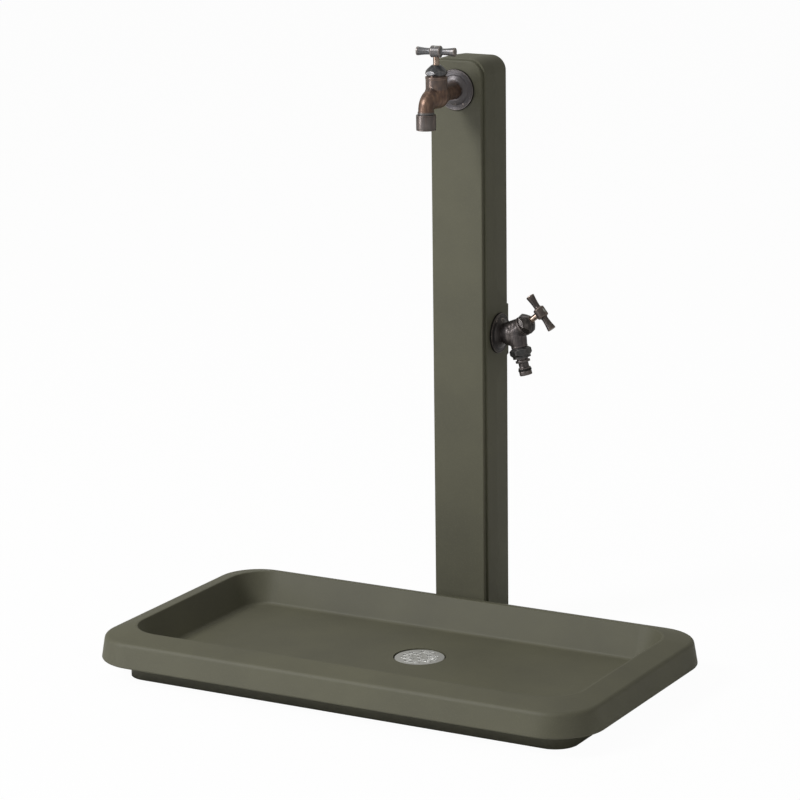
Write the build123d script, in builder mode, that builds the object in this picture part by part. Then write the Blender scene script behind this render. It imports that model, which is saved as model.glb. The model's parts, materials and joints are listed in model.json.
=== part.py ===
from build123d import *
from math import atan2, cos, degrees, pi, radians, sin, tan
import os

os.makedirs("parts", exist_ok=True)

# Garden standpipe: a hollow resin post with two taps, standing behind a moulded drain pan.
# Millimetres. X runs along the pan, Y from the pan back to the post, Z up from the ground.
# The origin is on the ground at the post's centre line, the middle of the foot's bolt holes.

# General clearances
overrun = 10.0
seat_gap = 0.3
screw_gap = 0.4
thread_gap = 0.1
running_gap = 0.05
hex_sides = 6

# Pan
pan_length = 750.0
pan_depth = 411.0
pan_height = 67.5
pan_wall = 5.0
rim_width = 38.0
shoulder_width = 30.5
shoulder_drop = 8.6
skirt_height = 32.4
crest_flat = 3.0
crest_corner = 54.0
shoulder_corner = 57.0
skirt_corner = 70.0
floor_height = 24.0
basin_wall_run = 18.5
floor_blend = 6.0
crest_blend = 1.3
shoulder_blend = 7.0
skirt_blend = 2.0
plinth_inset = 1.0
plinth_corner = 32.0
rib_spacing = 168.0
rib_count = 4
rib_thick = 4.0
plinth_rise_share = 0.6

# Drain
drain_x = 17.0
drain_y = 30.0
drain_hole = 72.0
drain_recess = 11.0
drain_boss_wall = 6.0
drain_boss_floor = 3.5
drain_gasket_thick = 1.5
drain_cup_wall = 2.0
drain_cup_floor = 2.0
drain_neck_radius = 24.0
drain_neck_bore = 21.0
drain_neck_end = 1.0
drain_nut_height = 4.0
drain_nut_width = 66.0
drain_nut_sides = 8
grate_radius = 34.1
grate_thick = 2.0
grate_drop = 1.0
grate_rib = 1.6
grate_rib_depth = 2.0
grate_blend = 0.8
slot_width = 4.6
slot_pitch = 11.25
slot_long = 23.0
slot_mid = 20.0
slot_mid_place = 13.2
slot_side = 16.5
slot_side_place = 19.0
slot_short = 8.0

# Post
pan_offset = 14.5
pan_gap = 0.4
post_height = 815.0
panel_width = 78.0
panel_proud = 6.0
panel_reveal = 3.0
panel_corner = 20.0
panel_blend = 1.8
panel_lip = 2.5
panel_lip_depth = 9.0
casing_depth = 72.0
casing_straight = 28.0
casing_wall = 4.5
casing_back_corner = 10.0
casing_blend = 1.6
casing_draft = 3.4
side_pad_rear = 70.0
side_pad_front = 130.0
side_pad_depth = 12.0
side_pad_flat = 26.0

# Foot
foot_width = 160.0
foot_thick = 6.0
foot_behind = 32.0
foot_hole_across = 130.0
foot_hole_along = 108.0
foot_hole_radius = 5.5
foot_corner = 12.0
foot_pipe_hole = 20.0
socket_height = 60.0
socket_wall = 3.0
foot_screw_height = 30.0
foot_screw_spread = 40.0
foot_screw_radius = 2.5
foot_screw_length = 9.0
screw_head_radius = 4.5
screw_head_height = 2.6
driver_slot_width = 1.2
driver_slot_depth = 1.0

# Water pipe inside the post
pipe_radius = 9.0
pipe_bore = 6.5
fitting_radius = 12.5
fitting_socket = 16.0
fitting_half = 24.0
branch_radius = 13.5
inlet_bottom = 9.0
inlet_thread = 10.48
inlet_thread_length = 15.0
inlet_hex = 30.0
inlet_hex_height = 7.0
clip_width = 14.0
clip_wall = 3.0
clip_base = 34.0
clip_base_thick = 4.0
clip_leg = 8.0
clip_screw_radius = 2.0
clip_screw_spread = 22.0
clip_screw_length = 7.0
clip_screw_head = 3.6

# Tap shared by both places
upper_tap_drop = 42.5
tap_spacing = 341.0
tail_radius = 10.3
tail_bore = 6.0
tail_length = 24.0
wall_hole_radius = 10.9
seal_thick = 1.0
seal_radius = 26.3
flange_radius = 27.5
flange_rim = 1.8
flange_rise = 3.6
flange_step = 5.2
flange_height = 8.0
flange_step_radius = 20.0
flange_neck_radius = 14.8
neck_radius = 12.0
barrel_top = 25.0
collar_radius = 11.4
collar_top = 31.0
chamber_radius = 9.5
chamber_top = 13.0
stem_bore = 7.15
gland_radius = 9.0
gland_floor = 27.0
seat_level = 1.0
seat_web = 3.0
seat_radius = 5.5
well_radius = 6.5

# Bonnet
bonnet_bottom = 26.3
bonnet_height = 14.0
bonnet_across = 28.0
bonnet_dome_start = 5.4
bonnet_dome_bulge = 0.6
bonnet_crown_radius = 6.4
bonnet_edge = 2.4
upper_bonnet_turn = -10.7
lower_bonnet_turn = -17.0

# Moving stem
spindle_radius = 4.25
spindle_thread_radius = 7.0
spindle_thread_bottom = 9.5
spindle_thread_length = 12.0
spindle_end_radius = 2.7
spindle_foot_radius = 4.8
jumper_radius = 8.0
jumper_disc = 2.0
jumper_pin_radius = 2.9
jumper_stub_radius = 2.0
jumper_stub_lift = 0.6
jumper_pin_top = 18.0
jumper_rubber_thick = 3.0
jumper_rubber_radius = 7.6
packing_height = 3.6
washer_thick = 1.0

# Handle
hub_radius = 8.0
hub_half = 6.6
hub_middle = 58.2
hub_edge = 1.3
hub_cone = 2.6
hub_sink = 1.4
hub_recess_radius = 3.8
hub_recess = 2.6
bar_half = 27.6
bar_end_radius = 5.9
bar_neck_radius = 4.1
bar_edge = 0.7
bar_end_band = 2.2
handle_screw_radius = 1.5
handle_screw_length = 7.0
handle_screw_head = 3.4
handle_screw_head_height = 2.2
upper_handle_rest = 8.0

# Upper tap
upper_reach = 54.5
upper_barrel_radius = 14.9
upper_belly_radius = 17.2
upper_belly_drop = 1.5
spout_reach = 30.0
upper_well_depth = 13.0
feed_end = 40.0
feed_drop = 6.2
feed_radius = 4.0
outflow_radius = 3.8
outflow_level = 5.0
outflow_reach = 11.5
spout_bore_start = 8.5
spout_radius = 10.4
spout_bore = 7.2
spout_bend = 19.0
spout_end = 22.6
spout_ring_radius = 11.3
spout_ring_height = 2.4
spout_thread_radius = 10.6
spout_thread_length = 8.0
outlet_cap_radius = 13.4
outlet_cap_height = 21.0
outlet_cap_bore = 8.5
outlet_cap_edge = 1.0
outlet_gasket_thick = 1.6
strainer_thick = 1.4
strainer_hole_radius = 0.9
strainer_hole_pitch = 2.9
strainer_rows = 7

# Lower tap
lower_reach = 19.0
lower_stem_drop = 1.5
lower_stem_tilt = 38.0
lower_barrel_radius = 13.2
lower_belly_radius = 14.6
lower_neck_radius = 12.9
lower_lip_radius = 14.2
lower_lip = 2.5
lower_inlet_end = 10.0
lower_well_depth = 10.0
lower_outlet_bore = 6.0
lower_outlet_reach = 27.4
lower_outlet_tilt = 14.8
lower_outlet_radius = 11.4
lower_outlet_length = 17.6
hose_thread_radius = 10.6
hose_thread_length = 9.0
hose_nut_across = 27.6
hose_nut_corner = 1.7
hose_nut_height = 15.0
hose_nut_top_radius = 10.9
hose_nut_top_edge = 3.4
hose_nut_low_edge = 3.0
hose_nut_skirt_radius = 12.6
hose_nut_skirt = 3.0
nipple_gasket_thick = 1.8
nipple_bore = 5.0
nipple_flange_thick = 2.0
nipple_flange_radius = 10.4
nipple_neck_radius = 8.0
nipple_collar_place = 35.8
nipple_collar_radius = 10.2
nipple_collar = 3.2
nipple_waist_radius = 7.0
nipple_waist = 7.5
nipple_head_radius = 8.8
nipple_head = 11.0
nipple_groove_radius = 6.9
nipple_groove = 2.8
nipple_groove_place = 2.0
nipple_edge = 1.2
ring_section = 1.3

# Levels and places that follow from the sizes above
crest_length = pan_length - 2 * rim_width
crest_depth = pan_depth - 2 * rim_width
crease_length = crest_length + 2 * shoulder_width
crease_depth = crest_depth + 2 * shoulder_width
crease_height = pan_height - shoulder_drop
skirt_bottom = crease_height - skirt_height
mouth_length = crest_length - 2 * crest_flat
mouth_depth = crest_depth - 2 * crest_flat
basin_depth = pan_height - floor_height
basin_draft = degrees(atan2(basin_wall_run, basin_depth))
plinth_length = crest_length - 2 * plinth_inset
plinth_depth = crest_depth - 2 * plinth_inset
plinth_top = floor_height + plinth_rise_share * basin_depth
shell_grow = pan_wall * (1 - tan(radians(basin_draft)))
drain_boss_bottom = floor_height - drain_recess - drain_boss_floor
drain_clear_radius = drain_hole / 2 + drain_boss_wall
casing_width = panel_width + 2 * panel_reveal
casing_front = -casing_depth / 2
casing_back = casing_depth / 2
cavity_back = casing_back - casing_wall
cavity_width = casing_width - 2 * casing_wall
cavity_corner = panel_corner + panel_reveal - casing_wall
post_front = casing_front - panel_proud
post_bottom = foot_thick + seat_gap
side_face = casing_width / 2
upper_tap_height = post_height - upper_tap_drop
lower_tap_height = upper_tap_height - tap_spacing
clip_heights = (lower_tap_height / 2, (lower_tap_height + upper_tap_height) / 2)
pan_middle = post_front - pan_gap - pan_depth / 2
flange_top = flange_height
gland_top = gland_floor + washer_thick + packing_height
jumper_bottom = seat_level + jumper_rubber_thick
jumper_top = jumper_bottom + jumper_disc
hub_bottom = hub_middle - hub_radius + hub_sink
hub_top = hub_middle + hub_radius
hub_seat = hub_top - hub_recess

# Reference planes: the pan, the drain, the pipe, the post's front and the two places for taps
pan_axis = Plane(origin=(pan_offset, pan_middle, 0))
drain_axis = Plane(origin=(pan_offset + drain_x, pan_middle + drain_y, 0))
pipe_axis = Plane(origin=(0, 0, 0))
casing_plane = Plane(origin=(0, casing_front, 0), x_dir=(-1, 0, 0), z_dir=(0, 1, 0))
cavity_plane = casing_plane.offset(cavity_back - casing_front)
upper_wall = Plane(origin=(0, post_front, upper_tap_height), x_dir=(1, 0, 0), z_dir=(0, -1, 0))
lower_wall = Plane(origin=(side_face, 0, lower_tap_height), x_dir=(0, 1, 0), z_dir=(1, 0, 0))


def side_plane(wall):
    """The upright plane through a tap, with X running out of the wall and Y up."""
    return Plane(origin=wall.origin, x_dir=wall.z_dir, z_dir=-wall.x_dir)


def section_plane(stem):
    """The plane through a stem's axis, with the stem's own Z as its upright."""
    return Plane(origin=stem.origin, x_dir=stem.x_dir, z_dir=-stem.y_dir)


def turned(stem, *points):
    """A solid turned about a stem's axis from half of its profile."""
    with BuildPart() as piece:
        with BuildSketch(section_plane(stem)):
            with BuildLine():
                Polyline(*points, close=True)
            make_face()
        revolve(axis=Axis(stem.origin, stem.z_dir))
    return piece.part


def ring(stem, low, high, outer, inner):
    """A plain ring or washer between two levels of a stem."""
    return turned(stem, (inner, low), (outer, low), (outer, high), (inner, high))


def rounded(length, depth, corner):
    """A rounded rectangle lying flat, for the pan's sections."""
    with BuildSketch() as outline:
        RectangleRounded(length, depth, corner)
    return outline.sketch_local


def arch(width, bottom, top, corner):
    """An upright outline with a square foot and two rounded top corners."""
    with BuildSketch() as outline:
        with Locations((0, (bottom + top) / 2)):
            Rectangle(width, top - bottom)
        fillet(outline.vertices().group_by(Axis.Y)[-1], corner)
    return outline.sketch_local


def screw(head_plane, radius, length, head_radius, head_height):
    """A slotted screw with its head standing on the plane and its shank behind it."""
    with BuildPart() as piece:
        with BuildSketch(head_plane.offset(-length)):
            Circle(radius)
        extrude(amount=length)
        with BuildSketch(head_plane):
            Circle(head_radius)
        extrude(amount=head_height)
        head_axis = Axis(head_plane.origin, head_plane.z_dir)
        fillet(piece.faces().sort_by(head_axis)[-1].edges(), head_height / 3)
        with BuildSketch(head_plane.offset(head_height)):
            Rectangle(2 * head_radius, driver_slot_width)
        extrude(amount=-driver_slot_depth, mode=Mode.SUBTRACT)
    return piece.part


# Pan: rim, skirt, basin and foot ring in one moulding
with BuildPart() as pan:
    with BuildSketch(pan_axis.offset(skirt_bottom)):
        add(rounded(pan_length, pan_depth, skirt_corner))
    with BuildSketch(pan_axis.offset(crease_height)):
        add(rounded(crease_length, crease_depth, shoulder_corner))
    with BuildSketch(pan_axis.offset(pan_height)):
        add(rounded(crest_length, crest_depth, crest_corner))
    loft(ruled=True)
    fillet(pan.edges().filter_by_position(Axis.Z, crease_height - seat_gap, crease_height + seat_gap),
           shoulder_blend)
    fillet(pan.faces().sort_by(Axis.Z)[0].edges(), skirt_blend)
    with BuildSketch(pan_axis.offset(skirt_bottom)):
        add(rounded(pan_length - 2 * pan_wall, pan_depth - 2 * pan_wall, skirt_corner - pan_wall))
    with BuildSketch(pan_axis.offset(crease_height - pan_wall)):
        add(rounded(crease_length - 2 * pan_wall, crease_depth - 2 * pan_wall, shoulder_corner - pan_wall))
    with BuildSketch(pan_axis.offset(pan_height - pan_wall)):
        add(rounded(crest_length - 2 * pan_wall, crest_depth - 2 * pan_wall, crest_corner - pan_wall))
    loft(ruled=True, mode=Mode.SUBTRACT)
    with BuildSketch(pan_axis.offset(pan_height - pan_wall)):
        add(rounded(mouth_length + 2 * shell_grow, mouth_depth + 2 * shell_grow,
                    crest_corner - crest_flat + shell_grow))
    extrude(amount=-basin_depth, taper=basin_draft)
    with BuildSketch(pan_axis):
        add(rounded(plinth_length, plinth_depth, plinth_corner))
        add(rounded(plinth_length - 2 * pan_wall, plinth_depth - 2 * pan_wall, plinth_corner - pan_wall),
            mode=Mode.SUBTRACT)
    extrude(amount=plinth_top)
    with BuildSketch(pan_axis):
        with GridLocations(rib_spacing, 0, rib_count, 1):
            Rectangle(rib_thick, plinth_depth - pan_wall)
    extrude(amount=floor_height - pan_wall / 2)
    with BuildSketch(drain_axis.offset(drain_boss_bottom)):
        Circle(drain_clear_radius)
    extrude(amount=floor_height - drain_boss_bottom - pan_wall / 2)
    with BuildSketch(pan_axis.offset(pan_height)):
        add(rounded(mouth_length, mouth_depth, crest_corner - crest_flat))
    extrude(amount=-basin_depth, taper=basin_draft, mode=Mode.SUBTRACT)
    fillet(pan.edges().filter_by_position(Axis.Z, floor_height - seat_gap, floor_height + seat_gap),
           floor_blend)
    fillet(pan.faces().sort_by(Axis.Z)[-1].edges(), crest_blend)
    with BuildSketch(drain_axis.offset(floor_height)):
        Circle(drain_hole / 2)
    extrude(amount=-drain_recess, mode=Mode.SUBTRACT)
    with BuildSketch(drain_axis):
        Circle(drain_neck_radius + screw_gap)
    extrude(amount=floor_height, mode=Mode.SUBTRACT)
pan.part.label = "pan"

# Drain fitting, held in the pan's recess by a nut from below
cup_bottom = floor_height - drain_recess + drain_gasket_thick
cup_top = floor_height - grate_drop - grate_thick
cup_radius = drain_hole / 2 - seat_gap
cup_inside = cup_radius - drain_cup_wall
grate_skirt_radius = cup_inside - screw_gap

with BuildPart() as drain_gasket:
    add(ring(drain_axis, floor_height - drain_recess, cup_bottom, cup_radius, drain_neck_radius + screw_gap))
drain_gasket.part.label = "drain_gasket"

with BuildPart() as drain_flange:
    add(turned(
        drain_axis,
        (drain_neck_bore, drain_neck_end),
        (drain_neck_radius, drain_neck_end),
        (drain_neck_radius, cup_bottom),
        (cup_radius, cup_bottom),
        (cup_radius, cup_top),
        (cup_inside, cup_top),
        (cup_inside, cup_bottom + drain_cup_floor),
        (drain_neck_bore, cup_bottom + drain_cup_floor),
    ))
drain_flange.part.label = "drain_flange"

with BuildPart() as drain_locknut:
    with BuildSketch(drain_axis.offset(drain_boss_bottom)):
        RegularPolygon(drain_nut_width / 2, drain_nut_sides, major_radius=False)
        Circle(drain_neck_radius + thread_gap, mode=Mode.SUBTRACT)
    extrude(amount=-drain_nut_height)
drain_locknut.part.label = "drain_locknut"

with BuildPart() as drain_grate:
    with BuildSketch(drain_axis.offset(cup_top)):
        Circle(grate_radius)
    extrude(amount=grate_thick)
    fillet(drain_grate.edges().group_by(Axis.Z)[-1], grate_blend)
    with BuildSketch(drain_axis.offset(cup_top)):
        Circle(grate_skirt_radius)
        Circle(grate_skirt_radius - grate_rib, mode=Mode.SUBTRACT)
    extrude(amount=-grate_rib_depth)
    with BuildSketch(drain_axis.offset(cup_top)):
        with GridLocations(0, 4 * slot_pitch, 1, 2):
            SlotOverall(slot_long, slot_width)
        with GridLocations(2 * slot_mid_place, 2 * slot_pitch, 2, 2):
            SlotOverall(slot_mid, slot_width)
        with GridLocations(2 * slot_side_place, 0, 2, 1):
            SlotOverall(slot_side, slot_width)
        SlotOverall(slot_short, slot_width)
    extrude(amount=grate_thick, mode=Mode.SUBTRACT)
drain_grate.part.label = "drain_grate"


def casing_block(inset, bottom):
    """The casing's form, straight at the front and drafted behind, shrunk by an inset."""
    width = casing_width - 2 * inset
    top = post_height - inset
    corner = panel_corner + panel_reveal - inset
    run = (casing_depth - casing_straight - inset) * tan(radians(casing_draft))
    with BuildPart() as block:
        with BuildSketch(casing_plane):
            add(arch(width, bottom, top, corner))
        extrude(amount=casing_straight)
        with BuildSketch(casing_plane.offset(casing_straight)):
            add(arch(width, bottom, top, corner))
        with BuildSketch(casing_plane.offset(casing_depth - inset)):
            add(arch(width - 2 * run, bottom, top - run, corner - run))
        loft(ruled=True)
        rear = block.faces().sort_by(Axis.Y)[-1]
        fillet(rear.edges().sort_by(Axis.Z)[1:], casing_back_corner - inset)
    return block.part


# Flat pad on the casing's side, standing square to the side tap
with BuildPart() as side_pad:
    with BuildSketch(lower_wall.offset(-side_pad_depth)):
        with BuildLine():
            Polyline(
                (casing_front + casing_straight, -side_pad_front / 2),
                (side_pad_flat, -side_pad_rear / 2),
                (casing_back, -side_pad_rear / 2),
                (casing_back, side_pad_rear / 2),
                (side_pad_flat, side_pad_rear / 2),
                (casing_front + casing_straight, side_pad_front / 2),
                close=True,
            )
        make_face()
    extrude(amount=side_pad_depth)
    fillet(side_pad.edges().filter_by(Axis.Z).group_by(Axis.Y)[-1].sort_by(Axis.X)[-1], casing_back_corner)

# Post: a casing open at the front, closed by a proud front panel
with BuildPart() as post_casing:
    add(casing_block(0, post_bottom))
    fillet(post_casing.faces().sort_by(Axis.Y)[0].edges().sort_by(Axis.Z)[1:], casing_blend)
    add(side_pad.part)
    add(casing_block(casing_wall, post_bottom - overrun), mode=Mode.SUBTRACT)
    with BuildSketch(lower_wall):
        Circle(wall_hole_radius)
    extrude(amount=-casing_width / 2, mode=Mode.SUBTRACT)
    with BuildSketch(casing_plane.offset(casing_depth)):
        with Locations((0, foot_screw_height)):
            with GridLocations(foot_screw_spread, 0, 2, 1):
                Circle(foot_screw_radius + thread_gap)
    extrude(amount=-casing_depth / 2, mode=Mode.SUBTRACT)
    with BuildSketch(cavity_plane):
        for height in clip_heights:
            with Locations((0, height)):
                with GridLocations(clip_screw_spread, 0, 2, 1):
                    Circle(clip_screw_radius + thread_gap)
    extrude(amount=clip_screw_length - clip_base_thick + seat_gap, mode=Mode.SUBTRACT)
post_casing.part.label = "post_casing"

with BuildPart() as front_panel:
    with BuildSketch(casing_plane.offset(-panel_proud)):
        add(arch(panel_width, post_bottom, post_height - panel_reveal, panel_corner))
    extrude(amount=panel_proud)
    fillet(front_panel.faces().sort_by(Axis.Y)[0].edges(), panel_blend)
    with BuildSketch(casing_plane):
        add(arch(cavity_width - 2 * seat_gap, post_bottom, post_height - casing_wall - seat_gap,
                 cavity_corner - seat_gap))
        add(arch(cavity_width - 2 * seat_gap - 2 * panel_lip, post_bottom - overrun,
                 post_height - casing_wall - seat_gap - panel_lip, cavity_corner - seat_gap - panel_lip),
            mode=Mode.SUBTRACT)
    extrude(amount=panel_lip_depth)
    with BuildSketch(upper_wall):
        Circle(wall_hole_radius)
    extrude(amount=-panel_proud, mode=Mode.SUBTRACT)
front_panel.part.label = "front_panel"

# Foot plate with an upright socket inside the casing
foot_front = pan_middle + plinth_depth / 2 + seat_gap
foot_back = casing_back + foot_behind
socket_front = casing_front + panel_lip_depth + seat_gap
socket_back = cavity_back - seat_gap
draft_run = (casing_depth - casing_straight) * tan(radians(casing_draft))
socket_width = cavity_width - 2 * draft_run - 2 * seat_gap

with BuildPart() as foot_plate:
    with BuildSketch(Plane.XY):
        with Locations((0, (foot_front + foot_back) / 2)):
            add(rounded(foot_width, foot_back - foot_front, foot_corner))
    extrude(amount=foot_thick)
    with BuildSketch(Plane.XY.offset(foot_thick)):
        with Locations((0, (socket_front + socket_back) / 2)):
            RectangleRounded(socket_width, socket_back - socket_front, casing_back_corner)
            RectangleRounded(socket_width - 2 * socket_wall, socket_back - socket_front - 2 * socket_wall,
                             casing_back_corner - socket_wall, mode=Mode.SUBTRACT)
    extrude(amount=socket_height)
    with BuildSketch(Plane.XY):
        Circle(foot_pipe_hole)
        with GridLocations(foot_hole_across, foot_hole_along, 2, 2):
            Circle(foot_hole_radius)
    extrude(amount=foot_thick, mode=Mode.SUBTRACT)
    with BuildSketch(casing_plane.offset(casing_depth)):
        with Locations((0, foot_screw_height)):
            with GridLocations(foot_screw_spread, 0, 2, 1):
                Circle(foot_screw_radius + thread_gap)
    extrude(amount=-casing_depth / 2, mode=Mode.SUBTRACT)
foot_plate.part.label = "foot_plate"

with BuildPart() as foot_screws:
    for side in (-1, 1):
        head = Plane(origin=(side * foot_screw_spread / 2, casing_back, foot_screw_height), z_dir=(0, 1, 0))
        add(screw(head, foot_screw_radius, foot_screw_length, screw_head_radius, screw_head_height))
foot_screws.part.label = "foot_screws"

# Water pipe: inlet adapter, two risers, a tee for the side tap and an elbow for the front tap
inlet_shoulder = inlet_bottom + inlet_thread_length
inlet_seat = inlet_shoulder + inlet_hex_height
tee_bottom = lower_tap_height - fitting_half
tee_top = lower_tap_height + fitting_half
elbow_bottom = upper_tap_height - fitting_half
tee_branch = cavity_width / 2 - draft_run - seat_gap
elbow_branch = casing_depth / 2 - seat_gap
socket_radius = pipe_radius + thread_gap

with BuildPart() as inlet_adapter:
    with BuildSketch(pipe_axis.offset(inlet_bottom)):
        Circle(inlet_thread)
    extrude(amount=inlet_thread_length)
    with BuildSketch(pipe_axis.offset(inlet_shoulder)):
        RegularPolygon(inlet_hex / 2, hex_sides, major_radius=False)
    extrude(amount=inlet_hex_height)
    with BuildSketch(pipe_axis.offset(inlet_seat)):
        Circle(fitting_radius)
    extrude(amount=fitting_socket)
    add(ring(pipe_axis, inlet_bottom, inlet_seat, pipe_bore, 0), mode=Mode.SUBTRACT)
    add(ring(pipe_axis, inlet_seat, inlet_seat + fitting_socket, socket_radius, 0), mode=Mode.SUBTRACT)
inlet_adapter.part.label = "inlet_adapter"

with BuildPart() as riser_lower:
    add(ring(pipe_axis, inlet_seat, tee_bottom + fitting_socket, pipe_radius, pipe_bore))
riser_lower.part.label = "riser_lower"

with BuildPart() as riser_upper:
    add(ring(pipe_axis, tee_top - fitting_socket, elbow_bottom + fitting_socket, pipe_radius, pipe_bore))
riser_upper.part.label = "riser_upper"

with BuildPart() as riser_tee:
    with BuildSketch(pipe_axis.offset(tee_bottom)):
        Circle(fitting_radius)
    extrude(amount=2 * fitting_half)
    with BuildSketch(lower_wall.offset(-side_face)):
        Circle(branch_radius)
    extrude(amount=tee_branch)
    add(ring(pipe_axis, tee_bottom, tee_top, pipe_bore, 0), mode=Mode.SUBTRACT)
    add(ring(pipe_axis, tee_bottom, tee_bottom + fitting_socket, socket_radius, 0), mode=Mode.SUBTRACT)
    add(ring(pipe_axis, tee_top - fitting_socket, tee_top, socket_radius, 0), mode=Mode.SUBTRACT)
    add(ring(lower_wall, -side_face, 0, tail_bore, 0), mode=Mode.SUBTRACT)
    add(ring(lower_wall, -tail_length - seat_gap, 0, tail_radius + thread_gap, 0), mode=Mode.SUBTRACT)
riser_tee.part.label = "riser_tee"

with BuildPart() as top_elbow:
    with BuildSketch(pipe_axis.offset(elbow_bottom)):
        Circle(fitting_radius)
    extrude(amount=fitting_half)
    with Locations((0, 0, upper_tap_height)):
        Sphere(branch_radius)
    with BuildSketch(upper_wall.offset(post_front)):
        Circle(branch_radius)
    extrude(amount=elbow_branch)
    add(ring(pipe_axis, elbow_bottom, upper_tap_height + pipe_bore, pipe_bore, 0), mode=Mode.SUBTRACT)
    add(ring(pipe_axis, elbow_bottom, elbow_bottom + fitting_socket, socket_radius, 0), mode=Mode.SUBTRACT)
    add(ring(upper_wall, post_front, 0, tail_bore, 0), mode=Mode.SUBTRACT)
    add(ring(upper_wall, -tail_length - seat_gap, 0, tail_radius + thread_gap, 0), mode=Mode.SUBTRACT)
top_elbow.part.label = "top_elbow"

with BuildPart() as pipe_clips:
    for height in clip_heights:
        with BuildSketch(pipe_axis.offset(height - clip_width / 2)):
            with Locations((0, cavity_back - clip_base_thick / 2)):
                Rectangle(clip_base, clip_base_thick)
            with Locations((0, cavity_back / 2)):
                Rectangle(clip_leg, cavity_back - clip_base_thick)
            Circle(pipe_radius + clip_wall)
            Circle(pipe_radius + running_gap, mode=Mode.SUBTRACT)
            with Locations((0, -pipe_radius)):
                Rectangle(clip_leg, pipe_radius, mode=Mode.SUBTRACT)
        extrude(amount=clip_width)
    with BuildSketch(cavity_plane):
        for height in clip_heights:
            with Locations((0, height)):
                with GridLocations(clip_screw_spread, 0, 2, 1):
                    Circle(clip_screw_radius + thread_gap)
    extrude(amount=-clip_base_thick, mode=Mode.SUBTRACT)
pipe_clips.part.label = "pipe_clips"

with BuildPart() as clip_screws:
    for height in clip_heights:
        for side in (-1, 1):
            head = Plane(origin=(side * clip_screw_spread / 2, cavity_back - clip_base_thick, height),
                         z_dir=(0, -1, 0))
            add(screw(head, clip_screw_radius, clip_screw_length, clip_screw_head, screw_head_height))
clip_screws.part.label = "clip_screws"


def wall_flange(wall, hole):
    """The stepped cover plate round a tap's neck."""
    return turned(
        wall,
        (hole, seal_thick),
        (flange_radius, seal_thick),
        (flange_radius, seal_thick + flange_rim),
        (flange_step_radius, flange_rise),
        (flange_step_radius, flange_step),
        (flange_neck_radius, flange_top),
        (hole, flange_top),
    )


def valve_void(stem, well_depth):
    """The space inside a tap's body: well, seat, chamber, stem bore and gland."""
    return turned(
        stem,
        (0, -well_depth),
        (well_radius, -well_depth),
        (well_radius, seat_level - seat_web),
        (seat_radius, seat_level - seat_web),
        (seat_radius, seat_level),
        (chamber_radius, seat_level),
        (chamber_radius, chamber_top),
        (stem_bore, chamber_top),
        (stem_bore, gland_floor),
        (gland_radius, gland_floor),
        (gland_radius, collar_top),
        (0, collar_top),
    )


def bonnet(stem, turn):
    """The domed hexagonal nut that closes a tap's body over its packing."""
    corner = bonnet_across / (2 * cos(pi / hex_sides))
    top = bonnet_bottom + bonnet_height
    with BuildPart() as piece:
        with BuildSketch(stem.offset(bonnet_bottom)):
            RegularPolygon(bonnet_across / 2, hex_sides, major_radius=False, rotation=turn)
        extrude(amount=bonnet_height)
        with BuildSketch(section_plane(stem)):
            with BuildLine():
                Polyline(
                    (bonnet_crown_radius, top),
                    (0, top),
                    (0, bonnet_bottom),
                    (corner - bonnet_edge, bonnet_bottom),
                    (corner, bonnet_bottom + bonnet_edge),
                    (corner, bonnet_bottom + bonnet_dome_start),
                )
                SagittaArc((corner, bonnet_bottom + bonnet_dome_start), (bonnet_crown_radius, top),
                           bonnet_dome_bulge)
            make_face()
        revolve(axis=Axis(stem.origin, stem.z_dir), mode=Mode.INTERSECT)
        add(ring(stem, bonnet_bottom, gland_top, collar_radius + thread_gap, 0), mode=Mode.SUBTRACT)
        add(ring(stem, gland_top, top, spindle_radius + thread_gap, 0), mode=Mode.SUBTRACT)
    return piece.part


def spindle(stem):
    """The threaded spindle that lifts the jumper and carries the handle."""
    with BuildPart() as piece:
        add(turned(
            stem,
            (0, jumper_top),
            (spindle_foot_radius, jumper_top),
            (spindle_foot_radius, spindle_thread_bottom),
            (spindle_thread_radius, spindle_thread_bottom),
            (spindle_thread_radius, spindle_thread_bottom + spindle_thread_length),
            (spindle_radius, spindle_thread_bottom + spindle_thread_length),
            (spindle_radius, hub_bottom),
            (spindle_end_radius, hub_bottom),
            (spindle_end_radius, hub_seat - seat_gap),
            (0, hub_seat - seat_gap),
        ))
        add(ring(stem, jumper_top, jumper_pin_top + seat_gap, jumper_pin_radius + thread_gap, 0),
            mode=Mode.SUBTRACT)
        add(ring(stem, hub_seat - handle_screw_length - seat_gap, hub_seat, handle_screw_radius + thread_gap, 0),
            mode=Mode.SUBTRACT)
    return piece.part


def jumper(stem):
    """The loose valve disc with its guide pin above and a stub for the rubber below."""
    return turned(
        stem,
        (0, seat_level + jumper_stub_lift),
        (jumper_stub_radius, seat_level + jumper_stub_lift),
        (jumper_stub_radius, jumper_bottom),
        (jumper_radius, jumper_bottom),
        (jumper_radius, jumper_top),
        (jumper_pin_radius, jumper_top),
        (jumper_pin_radius, jumper_pin_top),
        (0, jumper_pin_top),
    )


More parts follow.
